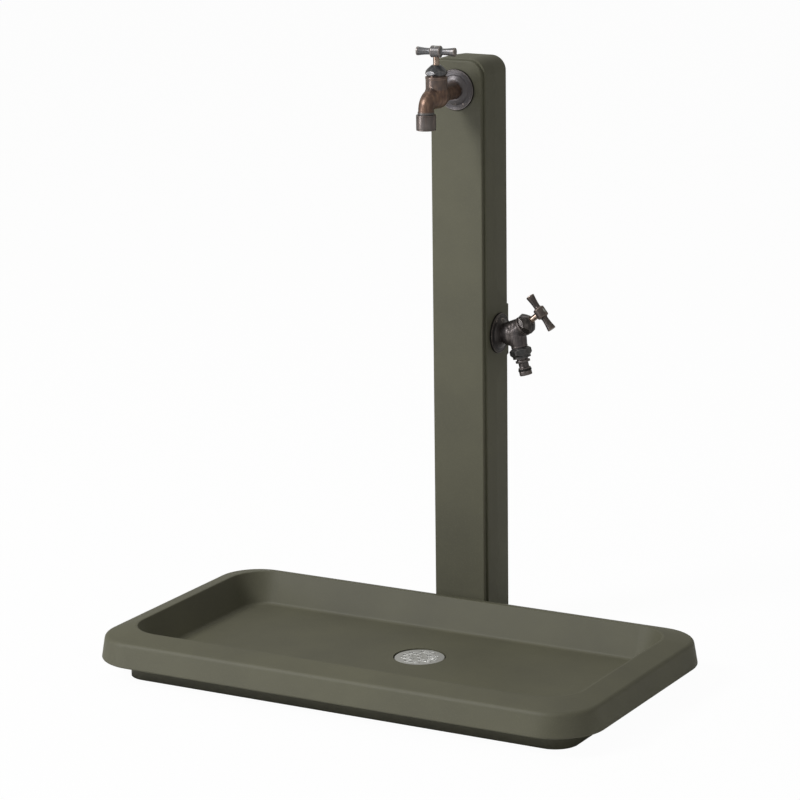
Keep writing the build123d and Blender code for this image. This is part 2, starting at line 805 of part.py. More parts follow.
def bar_handle(stem):
    """A cross bar with a drum at its middle and arms that widen to both ends."""
    middle = stem.offset(hub_middle)
    band = bar_half - bar_end_band
    root = hub_half + hub_cone
    with BuildPart() as piece:
        with BuildSketch(section_plane(middle)):
            with BuildLine():
                Polyline((-band, bar_end_radius), (-bar_half, bar_end_radius), (-bar_half, 0),
                         (bar_half, 0), (bar_half, bar_end_radius), (band, bar_end_radius))
                TangentArc((-root, bar_neck_radius), (-band, bar_end_radius), tangent=(-1, 0))
                Polyline((-root, bar_neck_radius), (-hub_half, hub_radius - hub_edge),
                         (hub_edge - hub_half, hub_radius), (hub_half - hub_edge, hub_radius),
                         (hub_half, hub_radius - hub_edge), (root, bar_neck_radius))
                TangentArc((root, bar_neck_radius), (band, bar_end_radius), tangent=(1, 0))
            make_face()
        bar_axis = Axis(middle.origin, middle.x_dir)
        revolve(axis=bar_axis)
        rims = piece.edges().filter_by(GeomType.CIRCLE).group_by(bar_axis)
        fillet(rims[0] + rims[-1], bar_edge)
        add(ring(stem, hub_middle - hub_radius, hub_bottom, spindle_radius + thread_gap, 0), mode=Mode.SUBTRACT)
        add(ring(stem, hub_bottom, hub_seat, spindle_end_radius + thread_gap, 0), mode=Mode.SUBTRACT)
        add(ring(stem, hub_seat, hub_top, hub_recess_radius, 0), mode=Mode.SUBTRACT)
    return piece.part


def handle_screw(stem):
    """The screw that holds the handle on its spindle."""
    return screw(stem.offset(hub_seat), handle_screw_radius, handle_screw_length, handle_screw_head,
                 handle_screw_head_height)


# Upper tap, out of the front panel
upper_stem = Plane(origin=upper_wall.offset(upper_reach).origin, x_dir=(1, 0, 0), z_dir=(0, 0, 1))
upper_side = side_plane(upper_wall)
upper_bar = upper_stem.rotated((0, 0, upper_handle_rest))
spout_place = upper_reach + spout_reach
spout_mouth = Plane(origin=upper_side.from_local_coords((spout_place, -spout_end, 0)),
                    x_dir=(1, 0, 0), z_dir=(0, 0, -1))
gasket_place = spout_thread_length + outlet_gasket_thick
strainer_place = gasket_place + strainer_thick
upper_neck_hole = neck_radius + thread_gap

with BuildPart() as upper_flange_seal:
    add(ring(upper_wall, 0, seal_thick, seal_radius, upper_neck_hole))
upper_flange_seal.part.label = "upper_flange_seal"

with BuildPart() as upper_flange:
    add(wall_flange(upper_wall, upper_neck_hole))
upper_flange.part.label = "upper_flange"

with BuildPart() as upper_body:
    add(ring(upper_wall, -tail_length, 0, tail_radius, 0))
    add(ring(upper_wall, 0, upper_reach, neck_radius, 0))
    add(ring(upper_stem, -upper_belly_drop, barrel_top, upper_barrel_radius, 0))
    add(ring(upper_stem, barrel_top, collar_top, collar_radius, 0))
    with Locations(Location(upper_stem.offset(-upper_belly_drop).origin)):
        Sphere(upper_belly_radius)
    with BuildLine(upper_side):
        FilletPolyline((upper_reach, 0), (spout_place, 0), (spout_place, -spout_end), radius=spout_bend)
    with BuildSketch(upper_wall.offset(upper_reach)):
        Circle(spout_radius)
    sweep()
    add(ring(spout_mouth, -spout_ring_height, 0, spout_ring_radius, 0))
    add(ring(spout_mouth, 0, spout_thread_length, spout_thread_radius, 0))
    add(valve_void(upper_stem, upper_well_depth), mode=Mode.SUBTRACT)
    add(ring(upper_wall, -tail_length, feed_end, tail_bore, 0), mode=Mode.SUBTRACT)
    with BuildSketch(upper_wall.offset(feed_end - 2 * feed_radius)):
        with Locations((0, -feed_drop)):
            Circle(feed_radius)
    extrude(amount=upper_reach - feed_end + 2 * feed_radius, mode=Mode.SUBTRACT)
    with BuildSketch(upper_wall.offset(upper_reach)):
        with Locations((0, outflow_level)):
            Circle(outflow_radius)
    extrude(amount=outflow_reach, mode=Mode.SUBTRACT)
    with BuildLine(upper_side):
        FilletPolyline((upper_reach + spout_bore_start, 0), (spout_place, 0),
                       (spout_place, -spout_end - spout_thread_length), radius=spout_bend)
    with BuildSketch(upper_wall.offset(upper_reach + spout_bore_start)):
        Circle(spout_bore)
    sweep(mode=Mode.SUBTRACT)
upper_body.part.label = "upper_body"

with BuildPart() as upper_bonnet:
    add(bonnet(upper_stem, upper_bonnet_turn))
upper_bonnet.part.label = "upper_bonnet"

with BuildPart() as upper_packing_washer:
    add(ring(upper_stem, gland_floor, gland_floor + washer_thick, gland_radius - thread_gap,
             spindle_radius + thread_gap))
upper_packing_washer.part.label = "upper_packing_washer"

with BuildPart() as upper_packing:
    add(ring(upper_stem, gland_floor + washer_thick, gland_top, gland_radius - thread_gap,
             spindle_radius + running_gap))
upper_packing.part.label = "upper_packing"

with BuildPart() as upper_spindle:
    add(spindle(upper_stem))
upper_spindle.part.label = "upper_spindle"

with BuildPart() as upper_jumper:
    add(jumper(upper_stem))
upper_jumper.part.label = "upper_jumper"

with BuildPart() as upper_jumper_rubber:
    add(ring(upper_stem, seat_level, jumper_bottom, jumper_rubber_radius, jumper_stub_radius + thread_gap))
upper_jumper_rubber.part.label = "upper_jumper_rubber"

with BuildPart() as upper_handle:
    add(bar_handle(upper_bar))
upper_handle.part.label = "upper_handle"

with BuildPart() as upper_handle_screw:
    add(handle_screw(upper_bar))
upper_handle_screw.part.label = "upper_handle_screw"

with BuildPart() as upper_outlet_gasket:
    add(ring(spout_mouth, spout_thread_length, gasket_place, spout_thread_radius, outlet_cap_bore))
upper_outlet_gasket.part.label = "upper_outlet_gasket"

with BuildPart() as upper_strainer:
    add(ring(spout_mouth, gasket_place, strainer_place, spout_thread_radius, 0))
    with BuildSketch(spout_mouth.offset(gasket_place)):
        with HexLocations(strainer_hole_pitch / 2, strainer_rows, strainer_rows, major_radius=False):
            Circle(strainer_hole_radius)
        Circle(outlet_cap_bore - strainer_hole_radius, mode=Mode.INTERSECT)
    extrude(amount=strainer_thick, mode=Mode.SUBTRACT)
upper_strainer.part.label = "upper_strainer"

with BuildPart() as upper_outlet_cap:
    add(turned(
        spout_mouth,
        (spout_thread_radius + thread_gap, seat_gap),
        (outlet_cap_radius, seat_gap),
        (outlet_cap_radius, seat_gap + outlet_cap_height),
        (outlet_cap_bore, seat_gap + outlet_cap_height),
        (outlet_cap_bore, strainer_place),
        (spout_thread_radius + thread_gap, strainer_place),
    ))
    fillet(upper_outlet_cap.edges().filter_by(GeomType.CIRCLE).group_by(SortBy.RADIUS)[-1], outlet_cap_edge)
upper_outlet_cap.part.label = "upper_outlet_cap"

# Lower tap, out of the post's side, with a hose nipple on its outlet
lower_side = side_plane(lower_wall)
stem_tilt = radians(lower_stem_tilt)
outlet_tilt = radians(lower_outlet_tilt)
lower_stem = Plane(origin=lower_side.from_local_coords((lower_reach, -lower_stem_drop, 0)),
                   x_dir=(-sin(stem_tilt), 0, cos(stem_tilt)), z_dir=(cos(stem_tilt), 0, sin(stem_tilt)))
lower_outlet = Plane(origin=lower_wall.offset(lower_outlet_reach).origin,
                     x_dir=(0, 1, 0), z_dir=(sin(outlet_tilt), 0, -cos(outlet_tilt)))
hose_thread_end = lower_outlet_length + hose_thread_length
nipple_top = hose_thread_end + nipple_gasket_thick
nipple_seat = nipple_top + nipple_flange_thick
nut_top = lower_outlet_length + seat_gap
nut_end = nut_top + hose_nut_height
nipple_waist_top = nipple_collar_place + nipple_collar
nipple_head_top = nipple_waist_top + nipple_waist
nipple_end = nipple_head_top + nipple_head
groove_top = nipple_head_top + nipple_groove_place
groove_end = groove_top + nipple_groove
lower_neck_hole = lower_neck_radius + thread_gap

with BuildPart() as lower_flange_seal:
    add(ring(lower_wall, 0, seal_thick, seal_radius, lower_neck_hole))
lower_flange_seal.part.label = "lower_flange_seal"

with BuildPart() as lower_flange:
    add(wall_flange(lower_wall, lower_neck_hole))
lower_flange.part.label = "lower_flange"

with BuildPart() as lower_body:
    add(ring(lower_wall, -tail_length, 0, tail_radius, 0))
    add(ring(lower_wall, 0, lower_reach, lower_neck_radius, 0))
    with Locations(Location(lower_stem.origin)):
        Sphere(lower_belly_radius)
    add(ring(lower_stem, 0, barrel_top, lower_barrel_radius, 0))
    add(ring(lower_stem, barrel_top - lower_lip, barrel_top, lower_lip_radius, 0))
    add(ring(lower_stem, barrel_top, collar_top, collar_radius, 0))
    add(ring(lower_outlet, 0, lower_outlet_length, lower_outlet_radius, 0))
    add(ring(lower_outlet, lower_outlet_length, hose_thread_end, hose_thread_radius, 0))
    add(valve_void(lower_stem, lower_well_depth), mode=Mode.SUBTRACT)
    add(ring(lower_wall, -tail_length, lower_inlet_end, tail_bore, 0), mode=Mode.SUBTRACT)
    add(ring(lower_outlet, 0, hose_thread_end, lower_outlet_bore, 0), mode=Mode.SUBTRACT)
lower_body.part.label = "lower_body"

with BuildPart() as lower_bonnet:
    add(bonnet(lower_stem, lower_bonnet_turn))
lower_bonnet.part.label = "lower_bonnet"

with BuildPart() as lower_packing_washer:
    add(ring(lower_stem, gland_floor, gland_floor + washer_thick, gland_radius - thread_gap,
             spindle_radius + thread_gap))
lower_packing_washer.part.label = "lower_packing_washer"

with BuildPart() as lower_packing:
    add(ring(lower_stem, gland_floor + washer_thick, gland_top, gland_radius - thread_gap,
             spindle_radius + running_gap))
lower_packing.part.label = "lower_packing"

with BuildPart() as lower_spindle:
    add(spindle(lower_stem))
lower_spindle.part.label = "lower_spindle"

with BuildPart() as lower_jumper:
    add(jumper(lower_stem))
lower_jumper.part.label = "lower_jumper"

with BuildPart() as lower_jumper_rubber:
    add(ring(lower_stem, seat_level, jumper_bottom, jumper_rubber_radius, jumper_stub_radius + thread_gap))
lower_jumper_rubber.part.label = "lower_jumper_rubber"

with BuildPart() as lower_handle:
    add(bar_handle(lower_stem))
lower_handle.part.label = "lower_handle"

with BuildPart() as lower_handle_screw:
    add(handle_screw(lower_stem))
lower_handle_screw.part.label = "lower_handle_screw"

with BuildPart() as lower_nipple_gasket:
    add(ring(lower_outlet, hose_thread_end, nipple_top, nipple_flange_radius, lower_outlet_bore))
lower_nipple_gasket.part.label = "lower_nipple_gasket"

with BuildPart() as lower_nipple_nut:
    with BuildSketch(lower_outlet.offset(nut_top)):
        RegularPolygon(hose_nut_across / 2, hex_sides, major_radius=False)
    extrude(amount=hose_nut_height)
    add(turned(
        lower_outlet,
        (0, nut_top),
        (hose_nut_top_radius, nut_top),
        (hose_nut_across / 2 + hose_nut_corner, nut_top + hose_nut_top_edge),
        (hose_nut_across / 2 + hose_nut_corner, nut_end - hose_nut_skirt - hose_nut_low_edge),
        (hose_nut_skirt_radius, nut_end - hose_nut_skirt),
        (hose_nut_skirt_radius, nut_end),
        (0, nut_end),
    ), mode=Mode.INTERSECT)
    add(ring(lower_outlet, nut_top, nipple_seat, hose_thread_radius + thread_gap, 0), mode=Mode.SUBTRACT)
    add(ring(lower_outlet, nipple_seat, nut_end, nipple_neck_radius + thread_gap, 0), mode=Mode.SUBTRACT)
lower_nipple_nut.part.label = "lower_nipple_nut"

with BuildPart() as lower_nipple:
    add(turned(
        lower_outlet,
        (nipple_bore, nipple_top),
        (nipple_flange_radius, nipple_top),
        (nipple_flange_radius, nipple_seat),
        (nipple_neck_radius, nipple_seat),
        (nipple_neck_radius, nipple_collar_place),
        (nipple_collar_radius, nipple_collar_place),
        (nipple_collar_radius, nipple_waist_top),
        (nipple_waist_radius, nipple_waist_top),
        (nipple_waist_radius, nipple_head_top),
        (nipple_head_radius, nipple_head_top),
        (nipple_head_radius, groove_top),
        (nipple_groove_radius, groove_top),
        (nipple_groove_radius, groove_end),
        (nipple_head_radius, groove_end),
        (nipple_head_radius, nipple_end - nipple_edge),
        (nipple_head_radius - nipple_edge, nipple_end),
        (nipple_bore, nipple_end),
    ))
lower_nipple.part.label = "lower_nipple"

with BuildPart() as lower_nipple_ring:
    with BuildSketch(section_plane(lower_outlet)):
        with Locations((nipple_groove_radius + running_gap + ring_section, (groove_top + groove_end) / 2)):
            Circle(ring_section)
    revolve(axis=Axis(lower_outlet.origin, lower_outlet.z_dir))
lower_nipple_ring.part.label = "lower_nipple_ring"

for piece in (
    pan, drain_gasket, drain_flange, drain_locknut, drain_grate,
    post_casing, front_panel, foot_plate, foot_screws,
    inlet_adapter, riser_lower, riser_upper, riser_tee, top_elbow, pipe_clips, clip_screws,
    upper_flange_seal, upper_flange, upper_body, upper_bonnet, upper_packing_washer, upper_packing,
    upper_spindle, upper_jumper, upper_jumper_rubber, upper_handle, upper_handle_screw,
    upper_outlet_gasket, upper_strainer, upper_outlet_cap,
    lower_flange_seal, lower_flange, lower_body, lower_bonnet, lower_packing_washer, lower_packing,
    lower_spindle, lower_jumper, lower_jumper_rubber, lower_handle, lower_handle_screw,
    lower_nipple_gasket, lower_nipple_nut, lower_nipple, lower_nipple_ring,
):
    export_step(piece.part, f"parts/{piece.part.label}.step")
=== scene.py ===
import json
from math import cos, pi, radians, sin

import bmesh
import bpy
from mathutils import Matrix, Vector


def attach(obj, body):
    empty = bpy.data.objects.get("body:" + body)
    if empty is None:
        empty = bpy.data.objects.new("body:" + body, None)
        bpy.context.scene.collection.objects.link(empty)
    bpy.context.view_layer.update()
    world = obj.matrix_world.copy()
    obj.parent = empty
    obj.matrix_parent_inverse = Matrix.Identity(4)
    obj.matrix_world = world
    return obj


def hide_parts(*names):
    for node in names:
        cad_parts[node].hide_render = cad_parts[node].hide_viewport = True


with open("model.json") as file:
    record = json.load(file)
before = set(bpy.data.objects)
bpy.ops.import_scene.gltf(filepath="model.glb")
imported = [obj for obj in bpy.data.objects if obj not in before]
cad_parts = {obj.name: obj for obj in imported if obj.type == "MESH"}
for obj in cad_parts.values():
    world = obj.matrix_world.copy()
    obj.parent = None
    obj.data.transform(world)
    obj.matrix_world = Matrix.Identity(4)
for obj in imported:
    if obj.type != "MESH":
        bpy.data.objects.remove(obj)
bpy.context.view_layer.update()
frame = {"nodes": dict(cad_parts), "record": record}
nodes = frame["nodes"]
mm = 0.001
weldDistance = 0.000001
sliverDistance = 0.0000005
print("frame loaded:", len(nodes), "nodes")


def addNode(tree, kind, inputs=None, **settings):
    node = tree.nodes.new(kind)
    for key, value in settings.items():
        setattr(node, key, value)
    for key, value in (inputs or {}).items():
        if isinstance(value, bpy.types.NodeSocket):
            tree.links.new(value, node.inputs[key])
        else:
            node.inputs[key].default_value = value
    return node


def paint(text):  # an sRGB colour written in hex, as Blender's linear one
    channels = [int(text[i:i + 2], 16) / 255 for i in (0, 2, 4)]
    return tuple(c / 12.92 if c <= 0.04045 else ((c + 0.055) / 1.055) ** 2.4 for c in channels) + (1.0,)


def startMaterial(name):
    material = bpy.data.materials.new(name)
    material.use_nodes = True
    tree = material.node_tree
    return material, tree, tree.nodes["Principled BSDF"]


noiseRoughness = 0.55


def noiseNode(tree, scale, detail, stretch=(1, 1, 1)):
    place = addNode(tree, "ShaderNodeTexCoord").outputs["Object"]
    mapped = addNode(tree, "ShaderNodeMapping", {"Vector": place, "Scale": stretch})
    return addNode(tree, "ShaderNodeTexNoise", {
        "Vector": mapped.outputs["Vector"], "Scale": scale, "Detail": detail, "Roughness": noiseRoughness})


def spread(tree, source, low, high, fromLow=0.3, fromHigh=0.7):
    return addNode(tree, "ShaderNodeMapRange", {
        "Value": source, "From Min": fromLow, "From Max": fromHigh, "To Min": low, "To Max": high}).outputs[0]


def mixColours(tree, share, first, second):
    node = addNode(tree, "ShaderNodeMix", data_type="RGBA")
    for socket, value in ((0, share), (6, first), (7, second)):  # by number, because their names repeat
        if isinstance(value, bpy.types.NodeSocket):
            tree.links.new(value, node.inputs[socket])
        else:
            node.inputs[socket].default_value = value
    return node.outputs[2]


resinValues = {
    "colour": "5f5e4d",
    "pale": "6a6957",
    "dark": "565547",
    "cloudScale": 9.0,
    "grainScale": 700.0,
    "grainDepth": 0.00012,
    "grainStrength": 0.5,
    "speckle": 0.5,
    "speckleSpan": (0.5, 0.8),
    "roughness": (0.52, 0.66),
    "specular": 0.35,
}


def matteResin(name, v):
    material, tree, shader = startMaterial(name)
    cloud = noiseNode(tree, v["cloudScale"], detail=4.0).outputs["Fac"]
    grain = noiseNode(tree, v["grainScale"], detail=2.0).outputs["Fac"]
    toned = mixColours(tree, spread(tree, cloud, 0.0, 1.0), paint(v["dark"]), paint(v["colour"]))
    speckled = mixColours(tree, spread(tree, grain, 0.0, v["speckle"], *v["speckleSpan"]), toned,
                          paint(v["pale"]))
    bump = addNode(tree, "ShaderNodeBump", {
        "Strength": v["grainStrength"], "Distance": v["grainDepth"], "Height": grain})
    tree.links.new(speckled, shader.inputs["Base Color"])
    tree.links.new(spread(tree, grain, *v["roughness"]), shader.inputs["Roughness"])
    tree.links.new(bump.outputs["Normal"], shader.inputs["Normal"])
    shader.inputs["Specular IOR Level"].default_value = v["specular"]
    return material


metalValues = {
    "metallic": 0.65,
    "roughness": (0.28, 0.44),
    "cloudScale": 130.0,
    "cloudSpan": (0.3, 0.7),
    "streak": 0.35,
    "streakScale": 240.0,
    "streakStretch": (1, 1, 0.16),
    "streakSpan": (0.45, 0.75),
    "wornShare": 0.6,
    "rubbedAndLitSpan": (0.505, 0.56),  # how sharp an edge is before it is painted bright: rubbed wear, and a painted highlight along the edge
    "grainScale": 1500.0,
    "grainDepth": 0.0001,
    "grainStrength": 0.3,
    "patina": [],  # (low, high, share): heights in metres between which the metal has gone grey
    "patinaColour": "666769",
    "patinaEdge": 0.001,
}


def antiqueMetal(name, base, worn, shade, **changes):
    v = {**metalValues, **changes}
    material, tree, shader = startMaterial(name)
    cloud = noiseNode(tree, v["cloudScale"], detail=5.0).outputs["Fac"]
    lines = noiseNode(tree, v["streakScale"], stretch=v["streakStretch"], detail=3.0).outputs["Fac"]
    grain = noiseNode(tree, v["grainScale"], detail=2.0).outputs["Fac"]
    edge = addNode(tree, "ShaderNodeNewGeometry").outputs["Pointiness"]
    toned = mixColours(tree, spread(tree, cloud, 0.0, 1.0, *v["cloudSpan"]), paint(shade), paint(base))
    streaked = mixColours(tree, spread(tree, lines, 0.0, v["streak"], *v["streakSpan"]), toned, paint(worn))
    # sharp convex edges take the bright colour: partly rubbed wear, partly a painted highlight
    rubbedAndLit = mixColours(tree, spread(tree, edge, 0.0, v["wornShare"], *v["rubbedAndLitSpan"]), streaked, paint(worn))
    height = addNode(tree, "ShaderNodeSeparateXYZ", {0: addNode(tree, "ShaderNodeTexCoord").outputs["Object"]})
    soft = v["patinaEdge"]
    for low, high, share in v["patina"]:
        below = spread(tree, height.outputs["Z"], 0.0, share, low - soft, low + soft)
        above = spread(tree, height.outputs["Z"], 1.0, 0.0, high - soft, high + soft)
        both = addNode(tree, "ShaderNodeMath", {0: below, 1: above}, operation="MULTIPLY")
        rubbedAndLit = mixColours(tree, both.outputs[0], rubbedAndLit, paint(v["patinaColour"]))
    bump = addNode(tree, "ShaderNodeBump", {
        "Strength": v["grainStrength"], "Distance": v["grainDepth"], "Height": grain})
    tree.links.new(rubbedAndLit, shader.inputs["Base Color"])
    tree.links.new(spread(tree, cloud, *v["roughness"]), shader.inputs["Roughness"])
    tree.links.new(bump.outputs["Normal"], shader.inputs["Normal"])
    shader.inputs["Metallic"].default_value = v["metallic"]
    return material


brightValues = {
    "roughness": (0.22, 0.36),
    "metallic": 1.0,
    "lineScale": 900.0,
    "lineStretch": (1, 1, 0.1),
    "lineStrength": 0.2,
    "lineDepth": 0.00005,
    "lineShare": 0.25,
    "lineColour": (0.05, 0.05, 0.05, 1.0),
}


def brightMetal(name, colour, **changes):
    v = {**brightValues, **changes}
    material, tree, shader = startMaterial(name)
    lines = noiseNode(tree, v["lineScale"], stretch=v["lineStretch"], detail=2.0).outputs["Fac"]
    bump = addNode(tree, "ShaderNodeBump", {
        "Strength": v["lineStrength"], "Distance": v["lineDepth"], "Height": lines})
    tinted = mixColours(tree, spread(tree, lines, 0.0, v["lineShare"]), paint(colour), v["lineColour"])
    tree.links.new(tinted, shader.inputs["Base Color"])
    tree.links.new(spread(tree, lines, *v["roughness"]), shader.inputs["Roughness"])
    tree.links.new(bump.outputs["Normal"], shader.inputs["Normal"])
    shader.inputs["Metallic"].default_value = v["metallic"]
    return material


plasticValues = {
    "roughness": (0.42, 0.6),
    "specular": 0.4,
    "grainScale": 420.0,
    "grainStrength": 0.4,
    "grainDepth": 0.00008,
    "paleShare": 0.6,
}


def softPlastic(name, colour, pale, **changes):
    v = {**plasticValues, **changes}
    material, tree, shader = startMaterial(name)
    grain = noiseNode(tree, v["grainScale"], detail=3.0).outputs["Fac"]
    bump = addNode(tree, "ShaderNodeBump", {
        "Strength": v["grainStrength"], "Distance": v["grainDepth"], "Height": grain})
    mottled = mixColours(tree, spread(tree, grain, 0.0, v["paleShare"]), paint(colour), paint(pale))
    tree.links.new(mottled, shader.inputs["Base Color"])
    tree.links.new(spread(tree, grain, *v["roughness"]), shader.inputs["Roughness"])
    tree.links.new(bump.outputs["Normal"], shader.inputs["Normal"])
    shader.inputs["Specular IOR Level"].default_value = v["specular"]
    return material


panResin = matteResin("pan resin", resinValues)
casingResin = matteResin("casing resin", resinValues)
panelResin = matteResin("panel resin", resinValues)
finishes = {
    "pan_resin": panResin,
    "casing_resin": casingResin,
    "panel_resin": panelResin,
    "upper_copper": antiqueMetal(
        "front tap copper", "7b6355", "ad8c76", "574640", roughness=(0.33, 0.45), streak=0.5, grainStrength=0.2,
        patina=[(0.7455, 0.7535, 0.85), (0.7805, 0.8, 0.35)]),
    "lower_gunmetal": antiqueMetal(
        "side tap gunmetal", "585354", "918681", "413d3e", roughness=(0.3, 0.42), streak=0.45, grainStrength=0.2),
    # the plate's rim edge is painted brighter: rubbed wear and a painted highlight
    "upper_plate_metal": antiqueMetal(
        "cover plate metal", "5e5b5e", "9a908c", "4f4d50", roughness=(0.36, 0.46), cloudScale=40.0,
        cloudSpan=(0.2, 0.8), streak=0.1, wornShare=0.8, grainStrength=0.15),
    "upper_bonnet_metal": antiqueMetal(
        "bonnet metal", "616265", "a09c9a", "4b4c50", metallic=0.8, roughness=(0.24, 0.34), cloudScale=60.0,
        grainStrength=0.12),
    "upper_handle_metal": antiqueMetal(
        "handle metal", "707174", "a8988d", "5a5b5e", metallic=0.7, roughness=(0.35, 0.45), cloudScale=60.0,
        cloudSpan=(0.2, 0.8), streak=0.2, grainStrength=0.12),
    # painted shade: the side tap's plate, bonnet and handle are darker copies of the front tap's metals, for the
    # shade that falls on the side tap
    "lower_plate_metal": antiqueMetal(
        "shaded cover plate metal", "333031", "a1968f", "2f2c2d", cloudScale=40.0, cloudSpan=(0.2, 0.8), streak=0.1,
        wornShare=0.8, grainStrength=0.15),
    "lower_bonnet_metal": antiqueMetal(
        "shaded bonnet metal", "3e3b3b", "8f8884", "363333", metallic=0.8, roughness=(0.24, 0.34), cloudScale=60.0,
        grainStrength=0.12),
    "lower_handle_metal": antiqueMetal(
        "shaded handle metal", "504b4a", "a39185", "454040", metallic=0.75, roughness=(0.28, 0.38), cloudScale=60.0,
        cloudSpan=(0.2, 0.8), streak=0.2, grainStrength=0.12),
    "cap_metal": antiqueMetal(
        "outlet cap metal", "716c6b", "a28e84", "5b5656", metallic=0.8, roughness=(0.28, 0.38), cloudScale=60.0,
        cloudSpan=(0.2, 0.8), streak=0.3, grainStrength=0.12),
    "nut_metal": antiqueMetal(
        "hose nut metal", "4f5051", "847c79", "3a3a3b", grainScale=520.0, grainDepth=0.0006, grainStrength=0.5),
    "nipple_metal": antiqueMetal(
        "nipple metal", "5f5b5b", "9a8f8a", "474344", metallic=0.8, roughness=(0.24, 0.36), grainStrength=0.12),
    "spindle_brass": antiqueMetal(
        "spindle brass", "b3a092", "e0cfc2", "866f63", metallic=0.9, roughness=(0.16, 0.26), grainStrength=0.1),
    "valve_brass": brightMetal("valve brass", "c09b57"),
    "fitting_brass": brightMetal("pipe fitting brass", "b8924c"),
    "grate_steel": brightMetal("grate steel", "c6c6c3", roughness=(0.3, 0.46), lineStretch=(0.1, 1, 1),
                               metallic=0.4),
    "screw_steel": brightMetal("screw steel", "b4b4b0"),
    "seal_rubber": softPlastic("seal rubber", "1d1c1a", "2b2927", roughness=(0.6, 0.8), specular=0.25),
    "drain_plastic": softPlastic("drain plastic", "33332f", "3e3e3a"),
    "pipe_plastic": softPlastic("pipe plastic", "34393f", "3d4349"),
    "clip_plastic": softPlastic("clip plastic", "b2b1a8", "bfbeb6"),
    "packing_fibre": softPlastic("packing fibre", "62523a", "7d6b4e", roughness=(0.8, 0.95), grainScale=1200.0),
    "foot_paint": softPlastic("foot paint", "41413b", "4a4a43", roughness=(0.35, 0.5)),
}
for part in frame["record"]["subparts"]:
    mesh = nodes[part["node"]].data
    mesh.materials.clear()
    mesh.materials.append(finishes[part["material_slot"]])
print("materials:", len(finishes))


cameraValues = {
    "azimuth": 29.26,
    "elevation": 13.41,
    "roll": -0.72,
    "place": (2.10426, -3.96317, 1.40245),
    "lens": 148.75,
    "sensor": 36,
}


def placeCamera(v):
    turn, tilt, roll = (radians(v[key]) for key in ("azimuth", "elevation", "roll"))
    back = Vector((sin(turn) * cos(tilt), -cos(turn) * cos(tilt), sin(tilt)))
    right = Vector((cos(turn), sin(turn), 0))
    up = back.cross(right)
    sideways = right * cos(roll) + up * sin(roll)
    upright = up * cos(roll) - right * sin(roll)
    eye = bpy.data.cameras.new("camera")
    eye.lens = v["lens"]
    eye.sensor_width = v["sensor"]
    camera = bpy.data.objects.new("camera", eye)
    bpy.context.scene.collection.objects.link(camera)
    camera.matrix_world = Matrix((
        (sideways.x, upright.x, back.x, v["place"][0]),
        (sideways.y, upright.y, back.y, v["place"][1]),
        (sideways.z, upright.z, back.z, v["place"][2]),
        (0, 0, 0, 1)))
    bpy.context.scene.camera = camera


placeCamera(cameraValues)

lampValues = {
    "key": {"place": (-2.3, -3.4, 3.6), "size": 1.6, "power": 190.0},
    "fill": {"place": (3.6, -2.2, 1.6), "size": 2.5, "power": 7.0},
    "top": {"place": (-0.6, 0.9, 3.2), "size": 1.6, "power": 10.0},
    "low": {"place": (-0.6, -3.4, 0.25), "size": 1.2, "power": 1.5},
    "gleam": {"place": (-2.5, -2.7, 0.7), "size": 0.9, "power": 26.0, "onlyGleams": True},
}


lampTarget = (0.05, -0.15, 0.4)


def addLamp(name, v):
    lamp = bpy.data.lights.new(name, "AREA")
    lamp.shape = "DISK"
    lamp.size = v["size"]
    lamp.energy = v["power"]
    shown = bpy.data.objects.new(name, lamp)
    shown.visible_diffuse = not v.get("onlyGleams", False)
    bpy.context.scene.collection.objects.link(shown)
    aim = Vector(lampTarget) - Vector(v["place"])
    shown.matrix_world = Matrix.Translation(v["place"]) @ aim.to_track_quat("-Z", "Y").to_matrix().to_4x4()


for lampName, values in lampValues.items():
    addLamp(lampName, values)

stageValues = {
    "floorSize": 32.0,
    "floorDrop": 0.0005,
    "ambient": 0.235,
    "shine": 0.42,
    "air": (1.0, 0.985, 0.91, 1),
    "floorShade": 0.88,
    "floorRoughness": 0.9,
    "glow": 0.97,
}


def whiteWhereSeen(tree, rays):
    return addNode(tree, "ShaderNodeMath", {0: rays["Is Camera Ray"], 1: rays["Is Transmission Ray"]},
                   operation="MAXIMUM").outputs[0]


def whiteStage(v):
    world = bpy.data.worlds.new("white surround")
    world.use_nodes = True
    tree = world.node_tree
    tree.nodes.clear()
    rays = addNode(tree, "ShaderNodeLightPath").outputs
    mirrored = spread(tree, rays["Is Glossy Ray"], v["ambient"], v["shine"], 0.0, 1.0)  # what the metals reflect
    level = spread(tree, whiteWhereSeen(tree, rays), mirrored, 1.0, 0.0, 1.0)
    tint = mixColours(tree, whiteWhereSeen(tree, rays), v["air"], (1, 1, 1, 1))
    light = addNode(tree, "ShaderNodeBackground", {"Color": tint, "Strength": level})
    addNode(tree, "ShaderNodeOutputWorld", {"Surface": light.outputs[0]})
    bpy.context.scene.world = world

    material, tree, shader = startMaterial("floor white")
    shader.inputs["Base Color"].default_value = (v["floorShade"], v["floorShade"], v["floorShade"], 1)
    shader.inputs["Roughness"].default_value = v["floorRoughness"]
    glow = addNode(tree, "ShaderNodeEmission", {"Color": (1, 1, 1, 1), "Strength": 1.0})
    rays = addNode(tree, "ShaderNodeLightPath").outputs
    share = spread(tree, whiteWhereSeen(tree, rays), 0.0, v["glow"], 0.0, 1.0)
    mixed = addNode(tree, "ShaderNodeMixShader", {0: share, 1: shader.outputs[0], 2: glow.outputs[0]})
    tree.links.new(mixed.outputs[0], tree.nodes["Material Output"].inputs["Surface"])
    half = v["floorSize"] / 2
    mesh = bpy.data.meshes.new("floor")
    corners = ((-half, -half), (half, -half), (half, half), (-half, half))
    mesh.from_pydata([(x, y, -v["floorDrop"]) for x, y in corners], [], [(0, 1, 2, 3)])
    mesh.materials.append(material)
    floor = bpy.data.objects.new("floor", mesh)
    bpy.context.scene.collection.objects.link(floor)
    bpy.context.scene.view_settings.view_transform = "Standard"


whiteStage(stageValues)
print("camera, lamps and floor placed")


